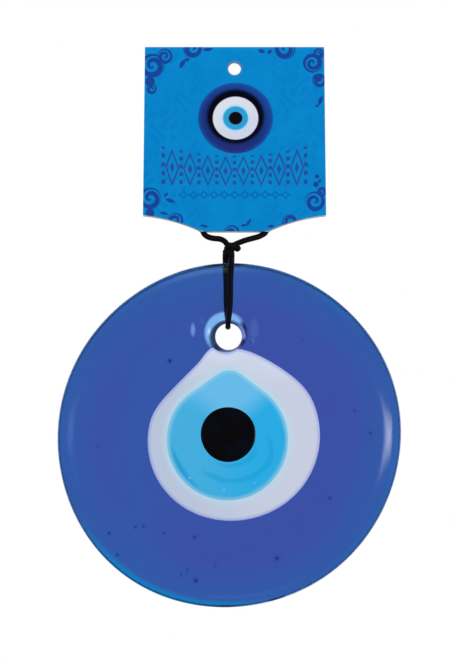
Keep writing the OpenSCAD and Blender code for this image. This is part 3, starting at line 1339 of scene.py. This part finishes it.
@dataclass(frozen=True)
class Eye:
    """The white, the iris and the pupil, each pressed into the one before while hot."""

    glass: GlassDisc
    white_at: Flat = (1.85, 0.3)
    white_radius: float = 30.0
    white_flanks: tuple[Flat, ...] = ((27.5, 133.0), (28.6, 60.0))
    flank_blend: float = 16.0
    lip_lap: float = 0.8
    pull: float = 1.8
    pull_at: float = 104.5
    iris_at: Flat = (-0.35, -1.35)
    iris_radius: float = 21.15
    tip_radius: float = 7.0
    tip_rise: float = 17.3
    pupil_at: Flat = (-0.14, 0.5)
    pupil_radius: float = 9.75
    pull_width: float = 8.0
    tip_at: float = 88.0
    hollow: Point = (0.015, 38.0, 16.0)
    round_edge: float = 1.0
    sides: int = 240
    blank_radius: float = 10.0
    blank_rows: Point = (-2.0, -1.0, 0.0)
    pole: float = 0.02
    spread: tuple[float, ...] = (
        0.15, 0.3, 0.45, 0.55, 0.62, 0.66, 0.69, 0.72, 0.75, 0.78, 0.81, 0.84, 0.87, 0.9, 0.925, 0.95,
        0.97, 0.985, 0.995,
    )
    back_spread: Flat = (0.96, 0.8)

    def middle(self, layer: Layer) -> Flat:
        """Returns a layer's centre in millimetres."""
        offset = {Layer.WHITE: self.white_at, Layer.IRIS: self.iris_at, Layer.PUPIL: self.pupil_at}[layer]
        return (self.glass.centre[0] + offset[0], self.glass.centre[1] + offset[1])

    def reach(self, layer: Layer, angle: float) -> float:
        """Returns how far a layer's outline is from its centre, in a direction.

        Args:
            layer: Which layer.
            angle: The direction in radians.

        Returns:
            The distance in millimetres.
        """
        if layer is Layer.PUPIL:
            return self.pupil_radius * (1 + 0.006 * math.sin(3 * angle + 0.4))
        if layer is Layer.IRIS:
            return self._iris_reach(angle)
        total = 1.0
        for distance, normal in self.white_flanks:
            lean = max(math.cos(angle - math.radians(normal)), 0.0)
            total += (lean * self.white_radius / distance) ** self.flank_blend
        reach = self.white_radius * total ** (-1 / self.flank_blend)
        reach += 0.5 * math.sin(2 * angle - 0.25) - 0.35 * math.sin(3 * angle)
        reach += self.pull * math.exp(-(((math.degrees(angle) % 360 - self.pull_at) / self.pull_width) ** 2))
        return min(reach, self._to_hole(angle))

    def _iris_reach(self, angle: float) -> float:
        """Returns the reach of an iris drawn out to a blunt tip, a little hollow on one side of it.

        Args:
            angle: The direction in radians.

        Returns:
            The distance in millimetres.
        """
        turn = (angle - math.radians(self.tip_at) + math.pi) % math.tau - math.pi
        depth, place, width = self.hollow
        hollow = depth * math.exp(-(((math.degrees(turn) - place) / width) ** 2))
        return self._tipped_reach(abs(turn)) * (1 - hollow)

    def _tipped_reach(self, lean: float) -> float:
        """Returns the reach of a true tipped circle.

        Args:
            lean: The angle from its tip in radians.

        Returns:
            The distance in millimetres.
        """
        tangent = math.acos((self.iris_radius - self.tip_radius) / self.tip_rise)
        tip_x = self.tip_radius * math.sin(tangent)
        tip_z = self.tip_rise + self.tip_radius * math.cos(tangent)
        if lean >= tangent:
            return self.iris_radius
        if lean >= math.atan2(tip_x, tip_z):
            return self.iris_radius / math.cos(tangent - lean)
        across = self.tip_rise * math.sin(lean)
        return self.tip_rise * math.cos(lean) + math.sqrt(self.tip_radius**2 - across**2)

    def _to_hole(self, angle: float) -> float:
        """Returns the distance from the white's centre to the hole's mouth.

        Args:
            angle: The direction in radians.

        Returns:
            The distance in millimetres, which is infinite where the hole isn't in the way.
        """
        middle = self.middle(Layer.WHITE)
        gap = Vector((self.glass.mouth[0] - middle[0], self.glass.mouth[1] - middle[1]))
        along = gap.dot(Vector((math.cos(angle), math.sin(angle))))
        room = (self.glass.mouth_radius - self.lip_lap) ** 2 - (gap.length_squared - along**2)
        return along - math.sqrt(room) if room > 0 and along > 0 else math.inf

    def _beyond(self, layer: Layer, x: float, z: float) -> float:
        """Returns how far outside a layer's outline a place is.

        Args:
            layer: Which layer.
            x: Place across, in millimetres.
            z: Place up, in millimetres.

        Returns:
            The distance in millimetres, which is less than 0 inside the outline.
        """
        middle = self.middle(layer)
        angle = math.atan2(z - middle[1], x - middle[0])
        return math.hypot(x - middle[0], z - middle[1]) - self.reach(layer, angle)

    def build(self, layer: Layer, finish: bpy.types.Material) -> bpy.types.Object:
        """Makes a layer.

        Args:
            layer: Which layer.
            finish: Its glass.

        Returns:
            The piece.
        """
        press = {
            Layer.WHITE: Press("white_of_eye", "eye_white", 0.12, 2.4, Layer.IRIS),
            Layer.IRIS: Press("iris_of_eye", "eye_iris", 0.26, 1.6, Layer.PUPIL),
            Layer.PUPIL: Press("pupil_of_eye", "eye_pupil", 0.42, 0.9, None),
        }[layer]
        middle = self.middle(layer)
        size = self.blank_radius
        front, rim, back = self.blank_rows
        rings = [Ring(*middle, front, share * size) for share in (self.pole, *self.spread, 1.0)]
        rings.append(Ring(*middle, rim, size))
        rings.extend(Ring(*middle, back, share * size) for share in (*self.back_spread, self.pole))
        piece = loft(press.name, rings, self.sides)
        weld(piece)
        self._close_poles(piece, size * self.pole)
        for vertex in piece.data.vertices:
            vertex.co = self._pressed(layer, press, vertex.co)
        self._chart(piece, layer, press.inside)
        soften(piece, 50)
        piece.data.materials.append(finish)
        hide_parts(press.node)
        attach(piece, "glass")
        LOG.info("%s: %d faces", press.name, len(piece.data.polygons))
        return piece

    def _pressed(self, layer: Layer, press: Press, place: Vector) -> Vector:
        """Moves a point of the round blank to where it is in the pressed glass.

        Args:
            layer: Which layer.
            press: How it is pressed in.
            place: The point in metres.

        Returns:
            Its new place in metres.
        """
        middle = self.middle(layer)
        front, rim, back = self.blank_rows
        x, y, z = place / MM
        share = math.hypot(x - middle[0], z - middle[1]) / self.blank_radius
        angle = math.atan2(z - middle[1], x - middle[0])
        reach = self.reach(layer, angle)
        new_x = middle[0] + reach * share * math.cos(angle)
        new_z = middle[1] + reach * share * math.sin(angle)
        surface = self.glass.half_at(new_x, new_z)
        if y < (front + rim) / 2:
            fall = max(1 - reach * (1 - share) / self.round_edge, 0.0)
            sunk = 0.02 if fall > 0.999 else 0.0
            new_y = -(surface + press.proud * math.sqrt(max(1 - fall**2, 0.0)) - sunk)
        elif y < (rim + back) / 2:
            new_y = -(surface - 0.3 * press.depth)
        else:
            new_y = -max(surface - press.depth, 0.4)
        return metres((new_x, new_y, new_z))

    @staticmethod
    def _close_poles(piece: bpy.types.Object, size: float) -> None:
        """Merges the small ring at each pole to one point.

        Args:
            piece: The layer, still round.
            size: The small rings' radius in millimetres.
        """
        bounds = [piece.data.vertices[0].co.copy() for _ in range(2)]
        for vertex in piece.data.vertices:
            bounds = [Vector(map(min, bounds[0], vertex.co)), Vector(map(max, bounds[1], vertex.co))]
        middle = (bounds[0] + bounds[1]) / 2
        bpy.ops.object.mode_set(mode="EDIT")
        for front in (True, False):
            bpy.ops.mesh.select_all(action="DESELECT")
            skin = bmesh.from_edit_mesh(piece.data)
            for vertex in skin.verts:
                near = math.hypot(vertex.co.x - middle.x, vertex.co.z - middle.z) < size * 1.5 * MM
                vertex.select = near and (vertex.co.y < -1.0 * MM) is front
            skin.select_flush(True)
            bmesh.update_edit_mesh(piece.data)
            bpy.ops.mesh.merge(type="CENTER")
        bpy.ops.mesh.select_all(action="SELECT")
        bpy.ops.mesh.normals_make_consistent(inside=False)
        bpy.ops.object.mode_set(mode="OBJECT")

    def _chart(self, piece: bpy.types.Object, layer: Layer, inside: Layer | None) -> None:
        """Gives a layer a map of its distances from its own edge and from the layer inside it.

        Args:
            piece: The layer's piece.
            layer: Which layer it is.
            inside: The layer inside it, if there is one.
        """

        def distances(point: Vector) -> Flat:
            """Returns the two distances at a point.

            Args:
                point: The point in metres.

            Returns:
                The distances, as parts of the map's unit.
            """
            x, _, z = point / MM
            edge = -self._beyond(layer, x, z)
            inner = self._beyond(inside, x, z) if inside else 0.0
            return (edge * MM / UV_SPAN, inner * MM / UV_SPAN)

        chart(piece, "edges", distances)


# ---------------------------------------------------------------------------------------------------------
# Card
# ---------------------------------------------------------------------------------------------------------


@dataclass(frozen=True)
class Mark:
    """A printed shape, with its middle in millimetres on the card."""

    x: float
    z: float


@dataclass(frozen=True)
class Curl(Mark):
    """A spiral stroke that thickens outwards."""

    radius: float
    pitch: float
    turn: float
    hand: int = 1
    weight: float = 0.5

    def ink(self, tree: Tree, across: Wire, up: Wire) -> Wire:
        """Returns where the stroke is printed.

        Args:
            tree: The tree to add to.
            across: Place across the card in millimetres.
            up: Place up the card in millimetres.

        Returns:
            1 on the stroke and 0 off it.
        """
        dx = across - self.x
        dz = up - self.z
        out = tree.reach(dx, dz)
        angle = tree.math("ARCTAN2", dz, dx) * (self.hand / math.tau)
        arm = ((out / self.pitch - angle + self.turn).part() - 0.5).size() * self.pitch
        width = out * (self.weight / self.radius) * 1.15 + 0.26
        return (width - arm).ease(-0.08, 0.12) * out.ease(self.radius, self.radius - 0.25)


@dataclass(frozen=True)
class Leaf(Mark):
    """A pointed leaf."""

    length: float
    width: float
    turn: float

    def ink(self, tree: Tree, across: Wire, up: Wire) -> Wire:
        """Returns where the leaf is printed.

        Args:
            tree: The tree to add to.
            across: Place across the card in millimetres.
            up: Place up the card in millimetres.

        Returns:
            1 on the leaf and 0 off it.
        """
        dx = across - self.x
        dz = up - self.z
        cos = math.cos(math.radians(self.turn))
        sin = math.sin(math.radians(self.turn))
        along = dx * (cos * 2 / self.length) + dz * (sin * 2 / self.length)
        aside = (dz * cos - dx * sin).size()
        return ((1 - along * along) * (self.width / 2) - aside).ease(-0.08, 0.12)


@dataclass(frozen=True)
class Dot(Mark):
    """A round dot."""

    radius: float

    def ink(self, tree: Tree, across: Wire, up: Wire) -> Wire:
        """Returns 1 where the dot is printed."""
        return tree.reach(across - self.x, up - self.z).ease(self.radius + 0.1, self.radius - 0.1)


@dataclass(frozen=True)
class Frieze:
    """A printed row of plain lozenges between dotted lines, taller towards the sides."""

    middle: float = -35.7
    half_height: float = 5.2
    curve: float = 0.0026
    cell: float = 6.2
    start: float = -24.8
    slope: float = 2.6
    lozenge: float = 0.92
    beads: float = 14.0
    ends: Flat = (25.9, 25.6)

    def ink(self, tree: Tree, across: Wire, up: Wire) -> Wire:
        """Returns where the row is printed.

        Args:
            tree: The tree to add to.
            across: Place across the card in millimetres.
            up: Place up the card in millimetres.

        Returns:
            1 on the row's lozenges and dots and 0 off it.
        """
        half = self.half_height + across * across * self.curve
        middle = self.middle + across * across * self.curve
        cell = ((across - self.start) / self.cell).part() - 0.5
        height = (up - middle) / half
        slanted = cell.size() * self.slope + height.size()
        outline = (slanted - self.lozenge).size().ease(0.16, 0.08)
        seed = slanted.ease(0.36, 0.28)
        beads = (0.5 - cell.size()).ease(0.12, 0.08) * (height * self.beads).wave().ease(-0.3, 0.2)
        row = outline.most(seed).most(beads)
        return row * across.size().ease(*self.ends) * height.size().ease(1.04, 1.0)


@dataclass(frozen=True)
class SmallFrieze:
    """A smaller printed row of lozenges with dots between them."""

    middle: float = -44.0
    cell: float = 3.56
    start: float = -19.6
    lozenge: float = 1.2
    ends: Flat = (19.7, 19.5)

    def ink(self, tree: Tree, across: Wire, up: Wire) -> Wire:
        """Returns where the row is printed.

        Args:
            tree: The tree to add to.
            across: Place across the card in millimetres.
            up: Place up the card in millimetres.

        Returns:
            1 on the row's lozenges and dots and 0 off it.
        """
        cell = (((across - self.start) / self.cell).part() - 0.5) * self.cell
        height = up - self.middle
        lozenge = ((cell.size() + height.size()) - self.lozenge).size().ease(0.4, 0.25)
        dot = tree.reach(self.cell / 2 - cell.size(), height).ease(0.45, 0.3)
        return lozenge.most(dot) * across.size().ease(*self.ends)


@dataclass(frozen=True)
class PrintedEye:
    """The eye printed on the card: rings whose soft edges are given from outside to inside."""

    middle: Flat = (0.35, -17.3)
    squash: float = 1.06
    dark_lift: float = 0.6
    blue_edge: Flat = (13.4, 12.7)
    dark_edge: Flat = (10.9, 9.2)
    white_edge: Flat = (8.1, 7.7)
    pale_edge: Flat = (5.3, 4.5)
    sky_edge: Flat = (4.6, 4.1)
    pupil_edge: Flat = (2.6, 2.2)
    blue: Colour = paint(26, 50, 126)
    blue_lit: Colour = paint(24, 68, 152)
    blue_rim: Colour = paint(30, 84, 176)
    violet: Colour = paint(46, 40, 112)
    dark: Colour = paint(6, 7, 26)
    white: Colour = paint(226, 232, 244)
    white_low: Colour = paint(214, 220, 240)
    pale: Colour = paint(176, 226, 250)
    sky: Colour = paint(44, 164, 220)
    pupil: Colour = paint(16, 13, 20)

    def over(self, tree: Tree, across: Wire, up: Wire, front: Wire, colour: Wire) -> Wire:
        """Returns the ground with the printed eye on it, ring by ring.

        Args:
            tree: The tree to add to.
            across: Place across the card in millimetres.
            up: Place up the card in millimetres.
            front: 1 on the card's front.
            colour: The ground.

        Returns:
            The colour.
        """
        dx = across - self.middle[0]
        dz = (up - self.middle[1]) * self.squash
        out = tree.reach(dx, dz)
        raised = tree.reach(dx, dz - self.dark_lift)
        lit = (dx * 0.5 + dz * 0.85).ease(-6, 14)
        ring = tree.mix(lit, self.blue, self.blue_lit)
        ring = tree.mix(out.ease(11.2, 12.8) * 0.55, ring, self.blue_rim)
        ring = tree.mix((dz * -1.0 - dx.size() * 0.3).ease(7, 12) * 0.6, ring, self.violet)
        colour = tree.mix(out.ease(*self.blue_edge) * front, colour, ring)
        colour = tree.mix(raised.ease(*self.dark_edge) * front, colour, self.dark)
        white = tree.mix((dx * 0.6 - dz).ease(-8, 8), self.white, self.white_low)
        colour = tree.mix(out.ease(*self.white_edge) * front, colour, white)
        colour = tree.mix(out.ease(*self.pale_edge) * front, colour, self.pale)
        colour = tree.mix(out.ease(*self.sky_edge) * front, colour, self.sky)
        return tree.mix(out.ease(*self.pupil_edge) * front, colour, self.pupil)


@dataclass(frozen=True)
class Board:
    """The finishes of the card: its printed face and its raw inside."""

    fold_line: float
    ground_a: Colour = paint(0, 134, 208)
    ground_b: Colour = paint(2, 140, 211)
    faint: Colour = paint(2, 125, 203)
    scroll: Colour = paint(24, 62, 152)
    worn: Colour = paint(120, 118, 172)
    ink: Colour = paint(40, 62, 150)
    small_ink: Colour = paint(2, 88, 176)
    bare_dark: Colour = paint(196, 200, 204)
    bare_pale: Colour = paint(226, 228, 228)
    eye: PrintedEye = PrintedEye()
    frieze: Frieze = Frieze()
    small_frieze: SmallFrieze = SmallFrieze()
    marks: tuple[Mark, ...] = (
        Curl(-24.3, 4.2, 2.8, 1.7, 0.1, 1, 0.5),
        Curl(-28.6, 1.0, 4.3, 2.6, 0.55, -1, 0.95),
        Leaf(-18.2, 1.6, 3.6, 1.7, 62), Leaf(-16.6, 3.0, 2.6, 1.2, 20),
        Dot(-29.4, -4.6, 1.7), Curl(-28.9, -7.2, 1.9, 1.3, 0.3, 1, 0.4),
        Curl(-14.6, 7.0, 3.4, 2.1, 0.2, 1, 0.8), Leaf(-9.3, 6.6, 4.0, 1.3, 8),
        Curl(17.6, 6.8, 3.7, 2.2, 0.7, -1, 0.8), Leaf(9.4, 6.0, 2.8, 1.5, -18),
        Leaf(12.2, 5.8, 2.2, 1.3, 50),
        Curl(27.2, 1.9, 3.5, 2.0, 0.4, 1, 0.7), Curl(29.3, 5.2, 2.0, 1.3, 0.0, -1, 0.5),
        Dot(29.0, -3.3, 1.5), Curl(29.4, -4.2, 2.6, 1.7, 0.3, 1, 0.5),
        Leaf(29.9, -11.2, 3.6, 1.5, 70), Leaf(28.8, -13.0, 1.8, 0.9, 20),
        Dot(28.7, -37.6, 0.75), Dot(28.3, -40.4, 0.95), Leaf(29.6, -39.2, 1.9, 0.9, 40),
        Curl(27.9, -46.3, 3.6, 2.3, 0.15, 1, 0.65), Curl(30.3, -42.9, 1.8, 1.2, 0.5, -1, 0.4),
        Curl(-29.4, -45.2, 3.9, 2.5, 0.6, -1, 0.85), Dot(-29.4, -50.2, 1.5),
        Leaf(-22.4, -46.0, 3.8, 1.4, -20), Leaf(-23.9, -44.0, 2.2, 1.0, 40),
        Curl(-20.6, -53.0, 2.9, 1.9, 0.1, 1, 0.6), Leaf(-24.6, -50.4, 3.4, 1.1, -12),
        Curl(-0.9, -57.3, 2.9, 2.0, 0.25, 1, 0.7), Leaf(4.9, -53.6, 3.4, 1.1, 55),
        Leaf(3.2, -54.6, 2.2, 1.0, 10), Curl(19.2, -53.4, 2.7, 1.8, 0.4, -1, 0.6),
        Leaf(-10.6, -54.9, 3.2, 1.0, -8), Leaf(12.6, -55.0, 2.8, 1.0, 14),
    )

    def printed(self) -> bpy.types.Material:
        """Prints the outer face: the ground, the scrolls, the friezes and the eye.

        Returns:
            The material.
        """
        finish = Finish("printed_card", Specular_IOR_Level=0.05)
        tree = finish.tree
        along_x, length, _ = tree.split(tree.chart("sheet"))
        across = along_x * (UV_SPAN / MM)
        sheet = length * (UV_SPAN / MM)
        up = self.fold_line - (sheet - self.fold_line).size()
        front = sheet.ease(self.fold_line + 0.2, self.fold_line - 0.2)
        spot = tree.pair(across, up)
        cloud = tree.noise(spot, 0.12, 3.0)
        speck = tree.noise(spot, 3.0, 2.0)
        colour = tree.mix(cloud.ease(0.35, 0.65), self.ground_a, self.ground_b)
        colour = tree.mix(self._damask(across, up, cloud) * 0.55, colour, self.faint)
        scroll = self._all(tree, across, up)
        colour = tree.mix(scroll * (0.8 + speck * 0.25), colour, self.scroll)
        colour = tree.mix(tree.reach(across, up).ease(3.0, 2.2) * 0.55, colour, self.worn)
        small = self.small_frieze.ink(tree, across, up)
        colour = tree.mix(small * front * 0.7, colour, self.small_ink)
        large = self.frieze.ink(tree, across, up)
        colour = tree.mix(large * front * (0.7 + speck * 0.25), colour, self.ink)
        colour = self.eye.over(tree, across, up, front, colour)
        rough = 0.38 + speck * 0.1
        return finish.feed(Base_Color=colour, Roughness=rough, Normal=tree.bump(speck, 0.00002, 0.3))

    def _all(self, tree: Tree, across: Wire, up: Wire) -> Wire:
        """Returns where the scrollwork is printed.

        Args:
            tree: The tree to add to.
            across: Place across the card in millimetres.
            up: Place up the card in millimetres.

        Returns:
            1 on the curls, leaves and dots and 0 off it.
        """
        total = self.marks[0].ink(tree, across, up)
        for mark in self.marks[1:]:
            total = total.most(mark.ink(tree, across, up))
        return total

    @staticmethod
    def _damask(across: Wire, up: Wire, cloud: Wire) -> Wire:
        """Returns a faint tone-on-tone wave pattern beside the printed eye.

        Args:
            across: Place across the card in millimetres.
            up: Place up the card in millimetres.
            cloud: Slow noise that breaks the pattern up.

        Returns:
            1 on the pattern and 0 off it.
        """
        one = ((across * 0.9 + (up * 0.55).wave() * 2.2)).wave()
        two = ((up * 0.8 + (across * 0.7).wave() * 1.8)).wave()
        return (one * two + cloud - 0.5).ease(0.25, 0.6) * across.size().ease(9, 14)

    def raw(self) -> bpy.types.Material:
        """Makes the unprinted board of the inside and the cut edges.

        Returns:
            The material.
        """
        finish = Finish("raw_board", Roughness=0.85, Specular_IOR_Level=0.2)
        tree = finish.tree
        fibre = tree.noise(tree.place(grow=(1.0, 1.0, 3.0)), 900.0, 4.0, 0.6)
        colour = tree.mix(fibre, self.bare_dark, self.bare_pale)
        return finish.feed(Base_Color=colour, Normal=tree.bump(fibre, 0.00004, 0.5))


@dataclass(frozen=True)
class HangCard:
    """One sheet of board folded over at the top, with a peg hole through both halves."""

    top_width: float = 62.4
    low_width: float = 63.8
    corner_drop: float = -51.1
    slope_end: Flat = (12.1, -56.4)
    slope_radius: float = 60.0
    tab_half: float = 11.5
    tab_drop: float = -56.7
    board: float = 0.35
    fold_radius: float = 1.375
    fold_start: float = 6.15
    back_longer: float = 0.3
    peg_radius: float = 2.25
    columns: int = 86
    panel_rows: int = 40
    fold_rows: int = 10
    snap: float = 0.6
    blend_half: float = 1.1

    @property
    def fold_line(self) -> float:
        """The height at which the sheet's length is half way over the fold."""
        return self.fold_start + self.fold_radius * math.pi / 2

    def _half_width(self, z: float) -> float:
        """Returns half of the card's width.

        Args:
            z: The height in millimetres.

        Returns:
            The half width in millimetres.
        """
        top = self.fold_start + self.fold_radius
        share = (top - z) / (top - self.corner_drop)
        return (self.top_width + (self.low_width - self.top_width) * min(max(share, 0.0), 1.0)) / 2

    def _lower_edge(self, x: float) -> float:
        """Returns the height of the card's lower edge.

        Args:
            x: Place across the card in millimetres.

        Returns:
            The height in millimetres.
        """
        corner = Vector((self.low_width / 2, self.corner_drop))
        end = Vector(self.slope_end)
        chord = end - corner
        aside = Vector((-chord.y, chord.x)).normalized()
        middle = (corner + end) / 2 + aside * math.sqrt(self.slope_radius**2 - chord.length_squared / 4)
        out = abs(x)
        if out >= end.x:
            return middle.y + math.sqrt(max(self.slope_radius**2 - (out - middle.x) ** 2, 0.0))
        share = min(max((out - self.tab_half) / (end.x - self.tab_half), 0.0), 1.0)
        return self.tab_drop + (end.y - self.tab_drop) * share**2

    def _column(self, share: float) -> float:
        """Moves the columns nearest to the tab's corners onto them.

        Args:
            share: A column's place as a share of the width, from -0.5 to 0.5.

        Returns:
            Its place as a share of the half width.
        """
        place = share * 2
        half = self.low_width / 2
        for stop in (self.tab_half / half, self.slope_end[0] / half):
            if abs(abs(place) - stop) < self.snap / self.columns * 2:
                return math.copysign(stop, place)
        return place

    def _bend(self, across: float, share: float) -> tuple[Point, float]:
        """Returns a grid point's place on the folded sheet.

        Args:
            across: Share of the half width, from -1 to 1.
            share: Share of the sheet's rows, from 0 at the front's edge to 1 at the back's.

        Returns:
            The place in millimetres, and the length along the sheet.
        """
        rows = 2 * self.panel_rows + self.fold_rows
        row = share * rows
        low = self._lower_edge(across * self.low_width / 2)
        if row <= self.panel_rows:
            z = low + (self.fold_start - low) * row / self.panel_rows
            return (across * self._half_width(z), -self.fold_radius, z), z
        if row < self.panel_rows + self.fold_rows:
            angle = math.pi * (row - self.panel_rows) / self.fold_rows
            z = self.fold_start + self.fold_radius * math.sin(angle)
            place = (across * self._half_width(z), -self.fold_radius * math.cos(angle), z)
            return place, self.fold_start + self.fold_radius * angle
        low -= self.back_longer
        down = (row - self.panel_rows - self.fold_rows) / self.panel_rows
        z = self.fold_start + (low - self.fold_start) * down
        return (across * self._half_width(z), self.fold_radius, z), 2 * self.fold_line - z

    def build(self, printed: bpy.types.Material, raw: bpy.types.Material) -> bpy.types.Object:
        """Makes the card.

        Args:
            printed: The finish of its outer face.
            raw: The finish of its inside and edges.

        Returns:
            The piece.
        """
        clear_choice()
        rows = 2 * self.panel_rows + self.fold_rows
        bpy.ops.mesh.primitive_grid_add(x_subdivisions=self.columns, y_subdivisions=rows, size=1)
        piece = bpy.context.object
        piece.name = "folded_card"
        mesh = piece.data
        lengths = []
        for vertex in mesh.vertices:
            across = self._column(vertex.co.x)
            place, length = self._bend(across, vertex.co.y + 0.5)
            lengths.append((place[0], length))
            vertex.co = metres(place)
        layer = mesh.uv_layers.get("sheet") or mesh.uv_layers.new(name="sheet")
        for loop in mesh.loops:
            x, length = lengths[loop.vertex_index]
            layer.data[loop.index].uv = (x * MM / UV_SPAN, length * MM / UV_SPAN)
        for other in [uv.name for uv in mesh.uv_layers if uv.name != "sheet"]:
            mesh.uv_layers.remove(mesh.uv_layers[other])
        self._face_out(piece)
        mesh.materials.append(printed)
        mesh.materials.append(raw)
        solid = piece.modifiers.new("board", "SOLIDIFY")
        solid.thickness = self.board * MM
        solid.offset = 0
        solid.material_offset = 1
        solid.material_offset_rim = 1
        solid.use_even_offset = True
        choose(piece)
        bpy.ops.object.modifier_apply(modifier="board")
        self._punch(piece)
        soften(piece, 40)
        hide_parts("card_front", "card_back")
        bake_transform(piece)
        LOG.info("folded_card: %d faces", len(piece.data.polygons))
        return piece

    @staticmethod
    def _face_out(piece: bpy.types.Object) -> None:
        """Turns the sheet so that its front faces the viewer.

        Args:
            piece: The folded sheet.
        """
        front = min(piece.data.polygons, key=lambda face: face.center.z)
        if front.normal.y * front.center.y < 0:
            choose(piece)
            bpy.ops.object.mode_set(mode="EDIT")
            bpy.ops.mesh.select_all(action="SELECT")
            bpy.ops.mesh.flip_normals()
            bpy.ops.object.mode_set(mode="OBJECT")

    def _punch(self, piece: bpy.types.Object) -> None:
        """Cuts the peg hole through both halves.

        Args:
            piece: The folded card.
        """
        clear_choice()
        depth = 6 * self.fold_radius * MM
        bpy.ops.mesh.primitive_cylinder_add(
            vertices=48, radius=self.peg_radius * MM, depth=depth, rotation=(math.pi / 2, 0, 0)
        )
        punch = bpy.context.object
        cut = piece.modifiers.new("peg_hole", "BOOLEAN")
        cut.operation = "DIFFERENCE"
        cut.solver = "EXACT"
        cut.object = punch
        choose(piece)
        bpy.ops.object.modifier_apply(modifier="peg_hole")
        bpy.data.objects.remove(punch)
        for face in piece.data.polygons:
            out = math.hypot(face.center.x, face.center.z) / MM
            if out < self.peg_radius + 0.05 and abs(face.normal.y) < 0.5:
                face.material_index = 1


# ---------------------------------------------------------------------------------------------------------
# The ornament
# ---------------------------------------------------------------------------------------------------------


def main() -> None:
    """Builds the studio, then the ornament from the cord outwards."""
    logging.basicConfig(level=logging.INFO, format="%(name)s %(message)s")
    studio = Studio()
    studio.set_camera()
    HangingCord(SatinCord().material()).build()
    studio.set_light()
    studio.lay_floor()
    glass = GlassDisc()
    glass.build(CobaltGlass(glass).material())
    eye = Eye(glass)
    finishes = EyeGlass()
    for layer in Layer:
        eye.build(layer, finishes.material(layer, eye.middle(layer)))
    card = HangCard()
    board = Board(card.fold_line)
    card.build(board.printed(), board.raw())


if __name__ == "__main__":
    main()
